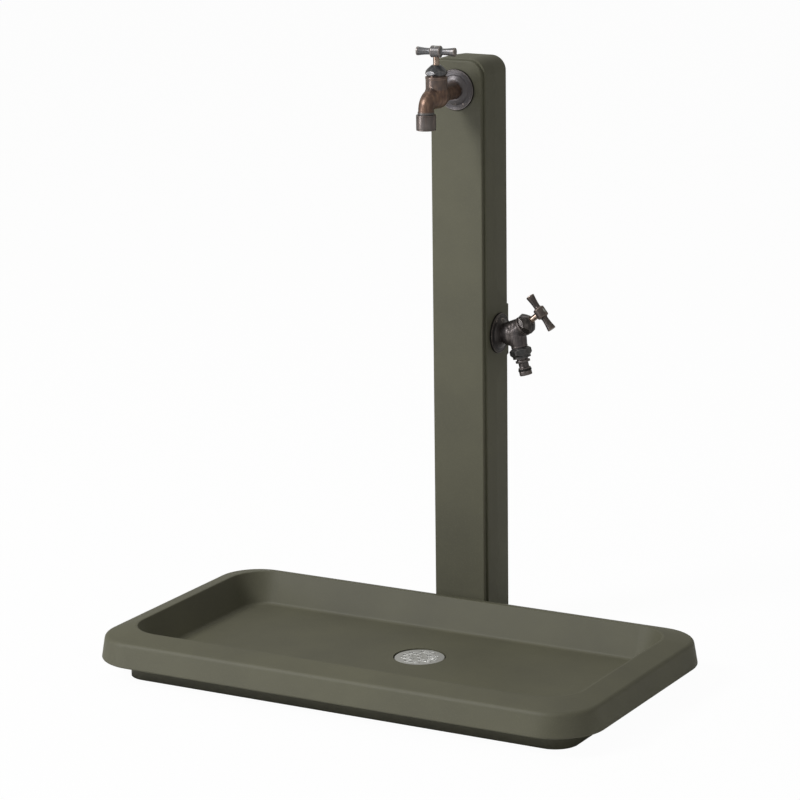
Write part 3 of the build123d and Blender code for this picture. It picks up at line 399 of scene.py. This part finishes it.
def frameAt(place, xDir, zDir):  # a place in mm with its own X and Z, as a matrix in metres
    x = Vector(xDir)
    z = Vector(zDir)
    y = z.cross(x)
    corner = Vector(place) * mm
    return Matrix((
        (x.x, y.x, z.x, corner.x),
        (x.y, y.y, z.y, corner.y),
        (x.z, y.z, z.z, corner.z),
        (0, 0, 0, 1)))


longestCut = 0.48  # the share of a side that one rounded corner may take
sharpestBend = 0.05


# rounds the corners of a closed outline of (radius, level) points; a third number is that corner's own rounding
def softLoop(points, radius=0.0, steps=5):
    loop = []
    count = len(points)
    for i, corner in enumerate(points):
        here = Vector(corner[:2])
        cut = corner[2] if len(corner) > 2 else radius
        before = Vector(points[i - 1][:2]) - here
        after = Vector(points[(i + 1) % count][:2]) - here
        if cut == 0 or here.x < 0.001:
            loop.append(tuple(here))
            continue
        bend = before.angle(after) / 2
        reach = min(cut / max(abs(sin(bend) / cos(bend)), sharpestBend),
                    before.length * longestCut, after.length * longestCut)
        first = here + before.normalized() * reach
        last = here + after.normalized() * reach
        for k in range(steps + 1):
            t = k / steps
            loop.append(tuple(first.lerp(here, t).lerp(here.lerp(last, t), t)))
    return loop


# sweeps a closed outline round a frame's Z; the outline may depend on the angle
def addTurned(form, place, loop, sides=128):
    rings = []
    for k in range(sides):
        angle = 2 * pi * k / sides
        points = loop(angle) if callable(loop) else loop
        rings.append([form.verts.new(place @ Vector((r * cos(angle) * mm, r * sin(angle) * mm, z * mm)))
                      for r, z in points])
    for ring, other in zip(rings, rings[1:] + rings[:1]):
        for i, j in zip(range(len(ring)), list(range(1, len(ring))) + [0]):
            form.faces.new((ring[i], other[i], other[j], ring[j]))


def closedMesh(name, form):
    bmesh.ops.remove_doubles(form, verts=form.verts, dist=weldDistance)
    bmesh.ops.dissolve_degenerate(form, edges=form.edges, dist=sliverDistance)
    bmesh.ops.recalc_face_normals(form, faces=form.faces)
    mesh = bpy.data.meshes.new(name)
    form.to_mesh(mesh)
    form.free()
    return mesh


def bakedCopy(shell):  # the mesh with its modifiers in it; the carrier object goes
    ready = bpy.data.meshes.new_from_object(shell.evaluated_get(bpy.context.evaluated_depsgraph_get()))
    bpy.data.objects.remove(shell)
    return ready


def carrier(name, data):
    shell = bpy.data.objects.new(name, data)
    bpy.context.scene.collection.objects.link(shell)
    return shell


def castSkin(name, mesh, v):  # one skin over overlapping forms, with the soft blends of a casting
    shell = carrier(name, mesh)
    skin = shell.modifiers.new("skin", "REMESH")
    skin.mode = "VOXEL"
    skin.voxel_size = v["voxel"] * mm
    soften = shell.modifiers.new("soften", "SMOOTH")
    soften.factor = v["softenShare"]
    soften.iterations = v["soften"]
    return bakedCopy(shell)


def cutAway(name, mesh, cutters, solver="EXACT"):
    shell = carrier(name, mesh)
    tool = carrier(name + "Cutters", cutters)
    cut = shell.modifiers.new("cut", "BOOLEAN")
    cut.operation = "DIFFERENCE"
    cut.solver = solver
    cut.object = tool
    ready = bakedCopy(shell)
    bpy.data.objects.remove(tool)
    return ready


plugSides = 48


def plug(form, place, radius, low, high):
    addTurned(form, place, [(0, low), (radius, low), (radius, high), (0, high)], sides=plugSides)


def finishPiece(name, mesh, body, slotName, *replaced, sharpAngle=35):
    mesh.name = name
    mesh.materials.clear()
    mesh.materials.append(finishes[slotName])
    mesh.shade_smooth()
    mesh.set_sharp_from_angle(angle=radians(sharpAngle))
    piece = carrier(name, mesh)
    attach(piece, body)
    if replaced:
        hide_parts(*replaced)


def treeWith(name, sockets):
    tree = bpy.data.node_groups.new(name, "GeometryNodeTree")
    tree.interface.new_socket("Geometry", in_out="INPUT", socket_type="NodeSocketGeometry")
    for label, kind, value in sockets:
        tree.interface.new_socket(label, in_out="INPUT", socket_type="NodeSocket" + kind).default_value = value
    tree.interface.new_socket("Geometry", in_out="OUTPUT", socket_type="NodeSocketGeometry")
    return tree, addNode(tree, "NodeGroupInput").outputs


def setInputs(shell, tree, values):  # a modifier's inputs, by each socket's identifier
    modifier = shell.modifiers.new(tree.name, "NODES")
    modifier.node_group = tree
    for item in tree.interface.items_tree:
        if item.in_out == "INPUT" and item.name in values:
            modifier[item.identifier] = values[item.name]


def tubeTree():  # a closed tube along a path
    tree, given = treeWith("tube along a path", [
        ("Radius", "Float", 0.01), ("Sides", "Int", 48), ("Finish", "Material", None)])
    outline = addNode(tree, "GeometryNodeCurvePrimitiveCircle", {
        "Resolution": given["Sides"], "Radius": given["Radius"]})
    tube = addNode(tree, "GeometryNodeCurveToMesh", {
        "Curve": given["Geometry"], "Profile Curve": outline.outputs["Curve"], "Fill Caps": True})
    real = addNode(tree, "GeometryNodeRealizeInstances", {"Geometry": tube.outputs["Mesh"]})
    done = addNode(tree, "GeometryNodeSetMaterial", {"Geometry": real.outputs[0], "Material": given["Finish"]})
    addNode(tree, "NodeGroupOutput", {"Geometry": done.outputs[0]})
    return tree


def slotRimTree():  # a raised rim round every slot of one length, one slot on each point
    tree, given = treeWith("slot rims", [
        ("Slot Length", "Float", 0.02), ("Slot Width", "Float", 0.005), ("Rim Radius", "Float", 0.0006),
        ("End Steps", "Int", 8), ("Rim Sides", "Int", 12), ("Finish", "Material", None)])
    oblong = addNode(tree, "GeometryNodeCurvePrimitiveQuadrilateral", {
        "Width": given["Slot Length"], "Height": given["Slot Width"]})
    nearlyHalf = 0.499  # a full half would leave edges of no length between the rounded ends
    endRadius = addNode(tree, "ShaderNodeMath", {0: given["Slot Width"], 1: nearlyHalf}, operation="MULTIPLY")
    ends = addNode(tree, "GeometryNodeFilletCurve", {
        "Curve": oblong.outputs["Curve"], "Count": given["End Steps"], "Radius": endRadius.outputs[0]}, mode="POLY")
    wire = addNode(tree, "GeometryNodeCurvePrimitiveCircle", {
        "Resolution": given["Rim Sides"], "Radius": given["Rim Radius"]})
    rim = addNode(tree, "GeometryNodeCurveToMesh", {
        "Curve": ends.outputs["Curve"], "Profile Curve": wire.outputs["Curve"]})
    placed = addNode(tree, "GeometryNodeInstanceOnPoints", {
        "Points": given["Geometry"], "Instance": rim.outputs["Mesh"]})
    real = addNode(tree, "GeometryNodeRealizeInstances", {"Geometry": placed.outputs["Instances"]})
    done = addNode(tree, "GeometryNodeSetMaterial", {"Geometry": real.outputs[0], "Material": given["Finish"]})
    addNode(tree, "NodeGroupOutput", {"Geometry": done.outputs[0]})
    return tree


tubeAlongPath = tubeTree()
slotRims = slotRimTree()

tapValues = {
    "upperHeight": 772.5,
    "upperWall": -42.0,
    "upperReach": 54.5,
    "upperSpoutReach": 30.0,
    "upperSpoutEnd": 22.6,
    "lowerHeight": 431.5,
    "lowerWall": 42.0,
    "lowerReach": 19.0,
    "lowerDrop": 1.5,
    "lowerTilt": 38.0,
    "lowerOutletReach": 27.4,
    "lowerOutletTilt": 14.8,
    "barTurn": 8.0,
}


def tapFrames(v):
    tilt, lean, turn = (radians(v[key]) for key in ("lowerTilt", "lowerOutletTilt", "barTurn"))
    upper = (0, v["upperWall"] - v["upperReach"], v["upperHeight"])
    lower = (v["lowerWall"] + v["lowerReach"], 0, v["lowerHeight"] - v["lowerDrop"])
    outlet = (v["lowerWall"] + v["lowerOutletReach"], 0, v["lowerHeight"])
    return {
        "upperWall": frameAt((0, v["upperWall"], v["upperHeight"]), (1, 0, 0), (0, -1, 0)),
        "upperStem": frameAt(upper, (1, 0, 0), (0, 0, 1)),
        "upperBar": frameAt(upper, (cos(turn), sin(turn), 0), (0, 0, 1)),
        "upperMouth": frameAt((0, upper[1] - v["upperSpoutReach"], v["upperHeight"] - v["upperSpoutEnd"]),
                              (1, 0, 0), (0, 0, -1)),
        "lowerWall": frameAt((v["lowerWall"], 0, v["lowerHeight"]), (0, 1, 0), (1, 0, 0)),
        "lowerStem": frameAt(lower, (-sin(tilt), 0, cos(tilt)), (cos(tilt), 0, sin(tilt))),
        "lowerOutlet": frameAt(outlet, (0, 1, 0), (sin(lean), 0, -cos(lean))),
    }


places = tapFrames(tapValues)

valveValues = {  # the bore that holds the valve, the same in both taps
    "chamberRadius": 9.5,
    "seat": 1.0,
    "chamberTop": 13.0,
    "guideRadius": 8.6,
    "guideTop": 32.0,
    "taper": 1.0,
    "sides": 64,
}


def boredBody(name, skin, stem, v):
    holes = bmesh.new()
    addTurned(holes, stem, [
        (0, v["seat"]), (v["chamberRadius"], v["seat"]), (v["chamberRadius"], v["chamberTop"]),
        (v["guideRadius"], v["chamberTop"] + v["taper"]), (v["guideRadius"], v["guideTop"]),
        (0, v["guideTop"])], sides=v["sides"])
    return cutAway(name, skin, closedMesh(name + "Bore", holes), solver="MANIFOLD")


frontBodyValues = {
    "tailRadius": 10.3,
    "tailLength": 24.0,
    "neckRadius": 12.0,
    "neckStart": -2.0,
    "barrelRadius": 14.7,
    "barrelTop": 25.0,
    "lipRadius": 15.1,
    "lipHeight": 2.6,
    "collarRadius": 11.4,
    "collarTop": 31.0,
    "bellyRadius": 17.2,
    "bellyDrop": 1.5,
    "shoulder": [(15.6, 0), (14.2, 8), (12.0, 16), (10.6, 22)],
    "shoulderFloor": 18.2,
    "ballSides": 64,
    "spoutRadius": 10.5,
    "spoutSides": 64,
    "spoutBend": 17.0,
    "ringRadius": 11.2,
    "ringHeight": 4.0,
    "ringSoftness": 0.5,
    "threadRadius": 10.4,
    "threadLength": 8.0,
    "pathSteps": 24,
    "cast": {"voxel": 0.5, "soften": 60, "softenShare": 0.5},
    "sharpAngle": 60,
}


ballSteps = 24


def ballLoop(radius, level):
    turns = [pi * k / ballSteps for k in range(ballSteps + 1)]
    return [(radius * sin(turn), level - radius * cos(turn)) for turn in turns]


lipValues = {"root": 4.0, "inset": 1.0, "softness": 0.6}  # how the lip grows out of the barrel, on both bodies


def lipLoop(v):  # the lip and the collar at the top of a body's barrel
    guide, lip = valveValues["guideRadius"], v["barrelTop"] - v["lipHeight"]
    root = lip - lipValues["root"]
    return softLoop([
        (guide, root, 0), (v["barrelRadius"] - lipValues["inset"], root, 0), (v["lipRadius"], lip),
        (v["lipRadius"], v["barrelTop"]), (v["collarRadius"], v["barrelTop"]),
        (v["collarRadius"], v["collarTop"]), (guide, v["collarTop"], 0)], lipValues["softness"])


def tailLoop(v):  # the threaded end that goes through the wall
    return [(0, -v["tailLength"]), (v["tailRadius"], -v["tailLength"]), (v["tailRadius"], 0), (0, 0)]


def frontSpoutPath(v):  # (out from the wall, up from the tap's height)
    reach, spout = tapValues["upperReach"], tapValues["upperSpoutReach"]
    straight = reach + spout - v["spoutBend"]
    path = [(reach, 0)]
    for k in range(v["pathSteps"] + 1):
        turn = pi / 2 * k / v["pathSteps"]
        path.append((straight + v["spoutBend"] * sin(turn), v["spoutBend"] * (cos(turn) - 1)))
    return path + [(reach + spout, -tapValues["upperSpoutEnd"])]


def frontBody(v):
    form = bmesh.new()
    wall, stem = places["upperWall"], places["upperStem"]
    reach = tapValues["upperReach"]
    addTurned(form, wall, [(0, v["neckStart"]), (v["neckRadius"], v["neckStart"]), (v["neckRadius"], reach),
                           (0, reach)])
    addTurned(form, stem, [(0, -v["bellyDrop"]), (v["barrelRadius"], -v["bellyDrop"]),
                           (v["barrelRadius"], v["barrelTop"]), (0, v["barrelTop"])])
    addTurned(form, stem, ballLoop(v["bellyRadius"], -v["bellyDrop"]))
    for (radius, out), (other, further) in zip(v["shoulder"], v["shoulder"][1:]):  # fills the corner under the spout
        for share in (0, 0.5):
            size = radius + (other - radius) * share
            centre = Vector((0, (size - v["shoulderFloor"]) * mm, (reach + out + (further - out) * share) * mm))
            addTurned(form, wall @ Matrix.Translation(centre), ballLoop(size, 0), sides=v["ballSides"])
    line = bpy.data.curves.new("spout path", "CURVE")
    line.dimensions = "3D"
    path = frontSpoutPath(v)
    run = line.splines.new("POLY")
    run.points.add(len(path) - 1)
    for point, (out, level) in zip(run.points, path):
        point.co = (*(wall @ Vector((0, level * mm, out * mm))), 1)
    spout = carrier("spout", line)
    setInputs(spout, tubeAlongPath, {
        "Radius": v["spoutRadius"] * mm, "Sides": v["spoutSides"], "Finish": finishes["upper_copper"]})
    form.from_mesh(bakedCopy(spout))
    skin = castSkin("frontTapBody", closedMesh("frontTapBody", form), v["cast"])
    form = bmesh.new()
    form.from_mesh(boredBody("frontTapBody", skin, stem, valveValues))
    addTurned(form, wall, tailLoop(v))
    addTurned(form, stem, lipLoop(v))
    addTurned(form, places["upperMouth"], softLoop([
        (0, -v["ringHeight"], 0), (v["ringRadius"], -v["ringHeight"]), (v["ringRadius"], 0), (v["threadRadius"], 0),
        (v["threadRadius"], v["threadLength"]), (0, v["threadLength"], 0)], v["ringSoftness"]))
    return closedMesh("frontTapBody", form)


finishPiece("frontTapBody", frontBody(frontBodyValues), "standpipe", "upper_copper", "upper_body",
            sharpAngle=frontBodyValues["sharpAngle"])
print("front tap body cast")

sideBodyValues = {
    "tailRadius": 10.3,
    "tailLength": 24.0,
    "neck": [(13.4, -1), (13.0, 5), (13.4, 10), (14.2, 15), (14.8, 19)],
    "bellyRadius": 14.9,
    "barrelRadius": 13.2,
    "barrelTop": 25.0,
    "lipRadius": 14.2,
    "lipHeight": 2.5,
    "collarRadius": 11.4,
    "collarTop": 31.0,
    "shoulderRadius": 12.0,
    # (out from the wall, up from the tap's height)
    "shoulder": [(16.6, 5.5), (21.9, 7.7), (27.2, 9.9), (32.5, 12.1)],
    "outlet": [(13.6, 0), (12.6, 9), (11.2, 17.0)],
    "outletRing": (11.6, 15.4, 17.6),  # (radius, start, end)
    "ringSoftness": 0.5,
    "ballSides": 64,
    "threadRadius": 10.4,
    "threadLength": 9.0,
    "cast": {"voxel": 0.5, "soften": 60, "softenShare": 0.5},
    "sharpAngle": 60,
}


def sideBody(v):
    form = bmesh.new()
    wall, stem, outlet = places["lowerWall"], places["lowerStem"], places["lowerOutlet"]
    addTurned(form, wall, [(0, v["neck"][0][1])] + v["neck"] + [(0, v["neck"][-1][1])])
    addTurned(form, stem, ballLoop(v["bellyRadius"], 0))
    for out, up in v["shoulder"]:  # fills the corner between the neck and the barrel
        corner = Matrix.Translation((0, 0, up * mm)) @ wall @ Matrix.Translation((0, 0, out * mm))
        addTurned(form, corner, ballLoop(v["shoulderRadius"], 0), sides=v["ballSides"])
    addTurned(form, stem, [(0, 0), (v["barrelRadius"], 0), (v["barrelRadius"], v["barrelTop"]), (0, v["barrelTop"])])
    addTurned(form, outlet, [(0, 0)] + v["outlet"] + [(0, v["outlet"][-1][1])])
    skin = castSkin("sideTapBody", closedMesh("sideTapBody", form), v["cast"])
    form = bmesh.new()
    form.from_mesh(boredBody("sideTapBody", skin, stem, valveValues))
    addTurned(form, wall, tailLoop(v))
    addTurned(form, stem, lipLoop(v))
    radius, low, end = v["outletRing"]
    addTurned(form, outlet, softLoop([
        (0, low, 0), (radius, low), (radius, end), (v["threadRadius"], end),
        (v["threadRadius"], end + v["threadLength"]), (0, end + v["threadLength"], 0)], v["ringSoftness"]))
    return closedMesh("sideTapBody", form)


finishPiece("sideTapBody", sideBody(sideBodyValues), "standpipe", "lower_gunmetal", "lower_body",
            sharpAngle=sideBodyValues["sharpAngle"])
print("side tap body cast")

hexValues = {"sides": 6, "softness": 0.18, "turnedSides": 180}


def hexRadius(angle, across, turn):  # distance from the axis to a hexagon's side, one corner at the turn
    part = 2 * pi / hexValues["sides"]
    return across / 2 / cos(((angle - radians(turn)) % part) - part / 2)


def softMin(a, b, softness):
    share = max(0.0, min(1.0, 0.5 + 0.5 * (b - a) / softness))
    return b + (a - b) * share - softness * share * (1 - share)


def hexSide(v, limit, bottom, angle, turn=0.0):  # the flat of a hexagon, trimmed by a turned outline
    flat = hexRadius(angle, v["across"], turn)
    points = []
    for k in range(v["steps"] + 1):
        level = v["height"] * k / v["steps"]
        points.append((softMin(flat, limit(level), hexValues["softness"]), bottom + level))
    return points


bonnetValues = {
    "across": 28.0,
    "turn": {"upper": -10.7, "lower": -17.0},
    "bottom": 26.3,
    "height": 14.0,
    "corner": 16.0,
    "domeStart": 4.0,
    "crownRadius": 6.4,
    "domeBulge": 0.7,
    "lowEdge": 3.2,
    "pocketRadius": 11.5,
    "pocketTop": 31.6,
    "holeRadius": 4.4,
    "holeEdge": 0.5,
    "steps": 40,
    "sharpAngle": 16,
}


def bonnetLoop(v, turn):
    def limit(level):  # the turned outline that trims the hexagon
        if level < v["lowEdge"]:
            return v["corner"] - v["lowEdge"] + level
        if level < v["domeStart"]:
            return v["corner"]
        rise = (level - v["domeStart"]) / (v["height"] - v["domeStart"])
        return v["corner"] + (v["crownRadius"] - v["corner"]) * rise + 4 * v["domeBulge"] * rise * (1 - rise)

    def loop(angle):
        top, hole, edge = v["bottom"] + v["height"], v["holeRadius"], v["holeEdge"]
        return hexSide(v, limit, v["bottom"], angle, turn) + [
            (hole + edge, top), (hole, top - edge), (hole, v["pocketTop"]),
            (v["pocketRadius"], v["pocketTop"]), (v["pocketRadius"], v["bottom"])]

    return loop


for tap in ("upper", "lower"):
    form = bmesh.new()
    addTurned(form, places[tap + "Stem"], bonnetLoop(bonnetValues, bonnetValues["turn"][tap]),
              sides=hexValues["turnedSides"])
    finishPiece(tap + "BonnetNut", closedMesh("bonnet", form), "standpipe", tap + "_bonnet_metal",
                tap + "_bonnet", sharpAngle=bonnetValues["sharpAngle"])
print("bonnet nuts turned")

handleValues = {
    "middle": 58.2,
    "drumRadius": 8.0,
    "drumHalf": 7.3,
    "drumEdge": 1.3,
    "drumCone": 2.6,
    "barHalf": 27.6,
    "barEnd": 5.9,
    "barNeck": 4.4,
    "barBand": 2.2,
    "barEdge": 0.8,
    "barEdgeShare": 0.3,
    "drumEdgeShare": 0.35,
    "drumEdgeRun": 1.5,
    "coneSteps": 6,
    "flareSteps": 16,
    "flarePower": 1.8,
    "sides": 96,
    "socketRadius": 4.35,
    "socketTop": 51.6,
    "recessRadius": 3.8,
    "recessFloor": 63.6,
}


def barLoop(v):  # half of the bar from the drum's middle outwards, then the same the other way
    start, band = v["drumHalf"] + v["drumCone"], v["barHalf"] - v["barBand"]
    drum, edge, cut = v["drumRadius"], v["drumEdge"], v["drumEdge"] * v["drumEdgeShare"]
    shape = [(drum, v["drumHalf"] - edge * v["drumEdgeRun"]), (drum, v["drumHalf"] - edge),
             (drum - cut, v["drumHalf"] - cut), (drum - edge, v["drumHalf"])]
    for k in range(1, v["coneSteps"]):  # a hollow curve from the drum's end down to the arm
        turn = pi / 2 * k / v["coneSteps"]
        shape.append((v["barNeck"] + (drum - edge - v["barNeck"]) * (1 - sin(turn)),
                      v["drumHalf"] + v["drumCone"] * (1 - cos(turn))))
    for k in range(v["flareSteps"] + 1):
        share = k / v["flareSteps"]
        shape.append((v["barNeck"] + (v["barEnd"] - v["barNeck"]) * share ** v["flarePower"],
                      start + (band - start) * share))
    cut = v["barEdge"] * v["barEdgeShare"]
    shape += [(v["barEnd"], v["barHalf"] - v["barEdge"]), (v["barEnd"] - cut, v["barHalf"] - cut),
              (v["barEnd"] - v["barEdge"], v["barHalf"]), (0, v["barHalf"])]
    return [(r, -along) for r, along in reversed(shape)] + shape


def barHandle(v, stem):
    form = bmesh.new()
    along = Matrix(((0, 0, 1, 0), (1, 0, 0, 0), (0, 1, 0, v["middle"] * mm), (0, 0, 0, 1)))
    addTurned(form, stem @ along, barLoop(v), sides=v["sides"])
    holes = bmesh.new()
    plug(holes, stem, v["socketRadius"], v["socketTop"] - v["drumRadius"], v["socketTop"])
    plug(holes, stem, v["recessRadius"], v["recessFloor"], v["recessFloor"] + v["drumRadius"])
    return cutAway("barHandle", closedMesh("barHandle", form), closedMesh("handleHoles", holes))


finishPiece("frontTapHandle", barHandle(handleValues, places["upperBar"]), "upper_stem",
            "upper_handle_metal", "upper_handle")
finishPiece("sideTapHandle", barHandle(handleValues, places["lowerStem"]), "lower_stem",
            "lower_handle_metal", "lower_handle")
print("bar handles turned")

coverValues = {
    "seal": 1.0,
    # the seal reaches past the plate's edge: partly a real seal, partly painted shadow round the plate
    "sealAndShadowRadius": 28.2,
    "radius": 27.5,
    "rim": 1.9,
    "rimBand": 1.2,
    "rimUnder": 1.0,
    "rings": (25.2, 23.9),
    "ringDepth": 0.22,
    "shoulder": 20.6,
    "stepRadius": 19.6,
    "rise": 3.6,
    "step": 5.2,
    "neckRadius": 14.8,
    "height": 8.0,
    "rimFoot": 0.9,
    "rimSide": 0.7,
    "rimInside": 0.35,
    "rimBevel": 0.3,
    "ringHalf": 0.3,
    "ringRise": 0.05,
    "shoulderCut": 0.3,
    "shoulderDip": 0.1,
    "sealLift": 0.02,
    # how far the corners are rounded
    "round": {"fine": 0.1, "bevel": 0.15, "small": 0.2, "rim": 0.3, "step": 0.6, "neck": 0.9},
    "sealRound": {"foot": 0.2, "top": 0.4},
    "cornerSteps": 3,
    "sides": 160,
    "holes": {"frontPlate": 12.1, "sidePlate": 13.0, "frontSeal": 12.1, "sideSeal": 13.5},
}


def coverPlate(v, wall, hole):
    form = bmesh.new()
    edge, top = v["radius"] - v["rimBand"], v["seal"] + v["rim"]
    under, inside, half, rounds = v["radius"] - v["rimUnder"], v["rimInside"], v["ringHalf"], v["round"]
    outline = [(hole, v["seal"], 0), (under, v["seal"], rounds["fine"]), (under, top - v["rimFoot"], rounds["small"]),
               (v["radius"], top - v["rimSide"], rounds["rim"]), (v["radius"], top, rounds["rim"]),
               (edge, top, rounds["rim"]), (edge - v["rimBevel"], top - inside, rounds["bevel"])]
    for ring in v["rings"]:  # fine grooves left by the lathe
        level = top - inside + (v["rise"] - top + inside) * (edge - ring) / (edge - v["shoulder"])
        outline += [(ring + half, level, rounds["fine"]), (ring, level - v["ringDepth"], rounds["fine"]),
                    (ring - half, level + v["ringRise"], rounds["fine"])]
    outline += [(v["shoulder"] + v["shoulderCut"], v["rise"] - v["shoulderDip"], rounds["small"]),
                (v["shoulder"], v["rise"] + v["shoulderCut"], rounds["small"]),
                (v["stepRadius"], v["step"], rounds["step"]), (v["neckRadius"], v["height"], rounds["neck"]),
                (hole, v["height"], rounds["rim"])]
    addTurned(form, wall, softLoop(outline, steps=v["cornerSteps"]), sides=v["sides"])
    return closedMesh("coverPlate", form)


def coverSeal(v, wall, hole):  # the black rubber seal, wider than the plate so that it shows round it as a dark ring: a real seal, and painted shadow round the plate's edge
    form = bmesh.new()
    foot, edge, rounds = v["sealLift"], v["sealAndShadowRadius"], v["sealRound"]
    outline = [(hole, foot, 0), (edge, foot, rounds["foot"]), (edge, v["seal"], rounds["top"]), (hole, v["seal"], 0)]
    addTurned(form, wall, softLoop(outline))
    return closedMesh("coverSeal", form)


coverHoles = coverValues["holes"]
finishPiece("frontCoverSeal", coverSeal(coverValues, places["upperWall"], coverHoles["frontSeal"]), "standpipe",
            "seal_rubber", "upper_flange_seal")
finishPiece("sideCoverSeal", coverSeal(coverValues, places["lowerWall"], coverHoles["sideSeal"]), "standpipe",
            "seal_rubber", "lower_flange_seal")
finishPiece("frontCoverPlate", coverPlate(coverValues, places["upperWall"], coverHoles["frontPlate"]), "standpipe",
            "upper_plate_metal", "upper_flange")
finishPiece("sideCoverPlate", coverPlate(coverValues, places["lowerWall"], coverHoles["sidePlate"]), "standpipe",
            "lower_plate_metal", "lower_flange")
print("cover plates turned")

outletCapValues = {
    "radius": 13.4,
    "top": 0.3,
    "bottom": 21.0,
    "bore": 8.5,
    "threadRadius": 10.75,
    "seat": 11.0,
    "lines": (1.7, 18.9),
    "lineDepth": 0.35,
    "lineHalf": 0.4,
    # how far the corners are rounded
    "round": {"fine": 0.1, "thread": 0.2, "top": 0.5, "bore": 0.6, "end": 0.9},
    "cornerSteps": 4,
}


def outletCap(v):
    form = bmesh.new()
    radius, half, rounds = v["radius"], v["lineHalf"], v["round"]
    outline = [(v["threadRadius"], v["top"], rounds["thread"]), (radius, v["top"], rounds["top"])]
    for level in v["lines"]:  # a fine groove near each end
        outline += [(radius, level - half, rounds["fine"]), (radius - v["lineDepth"], level, rounds["fine"]),
                    (radius, level + half, rounds["fine"])]
    outline += [(radius, v["bottom"], rounds["end"]), (v["bore"], v["bottom"], rounds["bore"]),
                (v["bore"], v["seat"], rounds["fine"]), (v["threadRadius"], v["seat"], rounds["fine"])]
    addTurned(form, places["upperMouth"], softLoop(outline, steps=v["cornerSteps"]))
    return closedMesh("outletCap", form)


finishPiece("outletCap", outletCap(outletCapValues), "standpipe", "cap_metal", "upper_outlet_cap")
print("outlet cap turned")

hoseNutValues = {
    "across": 27.6,
    "corner": 15.4,
    "top": 17.9,
    "height": 15.0,
    "topRadius": 10.9,
    "topEdge": 3.4,
    "lowEdge": 3.0,
    "skirt": 3.0,
    "skirtRadius": 12.6,
    "threadRadius": 10.7,
    "seat": 30.4,
    "holeRadius": 8.1,
    "steps": 44,
}


def hoseNutLoop(v):
    def limit(level):
        if level < v["topEdge"]:
            return v["topRadius"] + (v["corner"] - v["topRadius"]) * level / v["topEdge"]
        slope = level - (v["height"] - v["skirt"] - v["lowEdge"])
        if slope < 0:
            return v["corner"]
        return max(v["skirtRadius"], v["corner"] - (v["corner"] - v["skirtRadius"]) * slope / v["lowEdge"])

    def loop(angle):
        end = v["top"] + v["height"]
        return hexSide(v, limit, v["top"], angle) + [
            (v["holeRadius"], end), (v["holeRadius"], v["seat"]), (v["threadRadius"], v["seat"]),
            (v["threadRadius"], v["top"])]

    return loop


form = bmesh.new()
addTurned(form, places["lowerOutlet"], hoseNutLoop(hoseNutValues), sides=hexValues["turnedSides"])
finishPiece("hoseNut", closedMesh("hoseNut", form), "standpipe", "nut_metal", "lower_nipple_nut")

nippleValues = {
    "bore": 5.0,
    "boreRound": {"start": 0.2, "end": 0.5},
    # (radius, level, how far the corner is rounded)
    "levels": [(10.4, 28.4, 0.2), (10.4, 30.4, 0.2), (8.0, 30.4, 0.4), (8.0, 35.8, 0.5), (10.2, 35.8, 0.7),
               (10.2, 39.0, 0.7), (7.0, 39.4, 1.2), (7.0, 46.1, 1.2), (8.8, 46.5, 0.7), (8.8, 48.5, 0.4),
               (6.9, 48.5, 0.3), (6.9, 51.3, 0.3), (8.8, 51.3, 0.4), (8.8, 57.5, 1.3)],
}


def hoseNipple(v):
    form = bmesh.new()
    start, end = v["levels"][0][1], v["levels"][-1][1]
    outline = [(v["bore"], start, v["boreRound"]["start"])] + v["levels"] + [(v["bore"], end, v["boreRound"]["end"])]
    addTurned(form, places["lowerOutlet"], softLoop(outline))
    return closedMesh("hoseNipple", form)


finishPiece("hoseNipple", hoseNipple(nippleValues), "standpipe", "nipple_metal", "lower_nipple")
print("hose nut and nipple turned")

grateValues = {
    "centre": (31.5, -217.9, 23.05),
    "slotWidth": 4.6,
    "rimRadius": 0.45,
    "rimSides": 12,
    "endSteps": 8,
    "slots": {23.0: [(0, 22.5), (0, -22.5)],
              20.0: [(13.2, 11.25), (-13.2, 11.25), (13.2, -11.25), (-13.2, -11.25)],
              16.5: [(19.0, 0), (-19.0, 0)],
              8.0: [(0, 0)]},
}


def grateRims(v):  # the rolled edge pressed round every slot of the grate
    form = bmesh.new()
    for length, spots in v["slots"].items():
        centres = bpy.data.meshes.new("slot centres")
        centres.from_pydata([(Vector(v["centre"]) + Vector((x, y, 0))) * mm for x, y in spots], [], [])
        rims = carrier("slotRims", centres)
        setInputs(rims, slotRims, {
            "Slot Length": length * mm, "Slot Width": v["slotWidth"] * mm, "Rim Radius": v["rimRadius"] * mm,
            "Rim Sides": v["rimSides"], "End Steps": v["endSteps"], "Finish": finishes["grate_steel"]})
        form.from_mesh(bakedCopy(rims))
    return closedMesh("grateRims", form)


finishPiece("grateSlotRims", grateRims(grateValues), "grate", "grate_steel")
print("grate edges rolled")
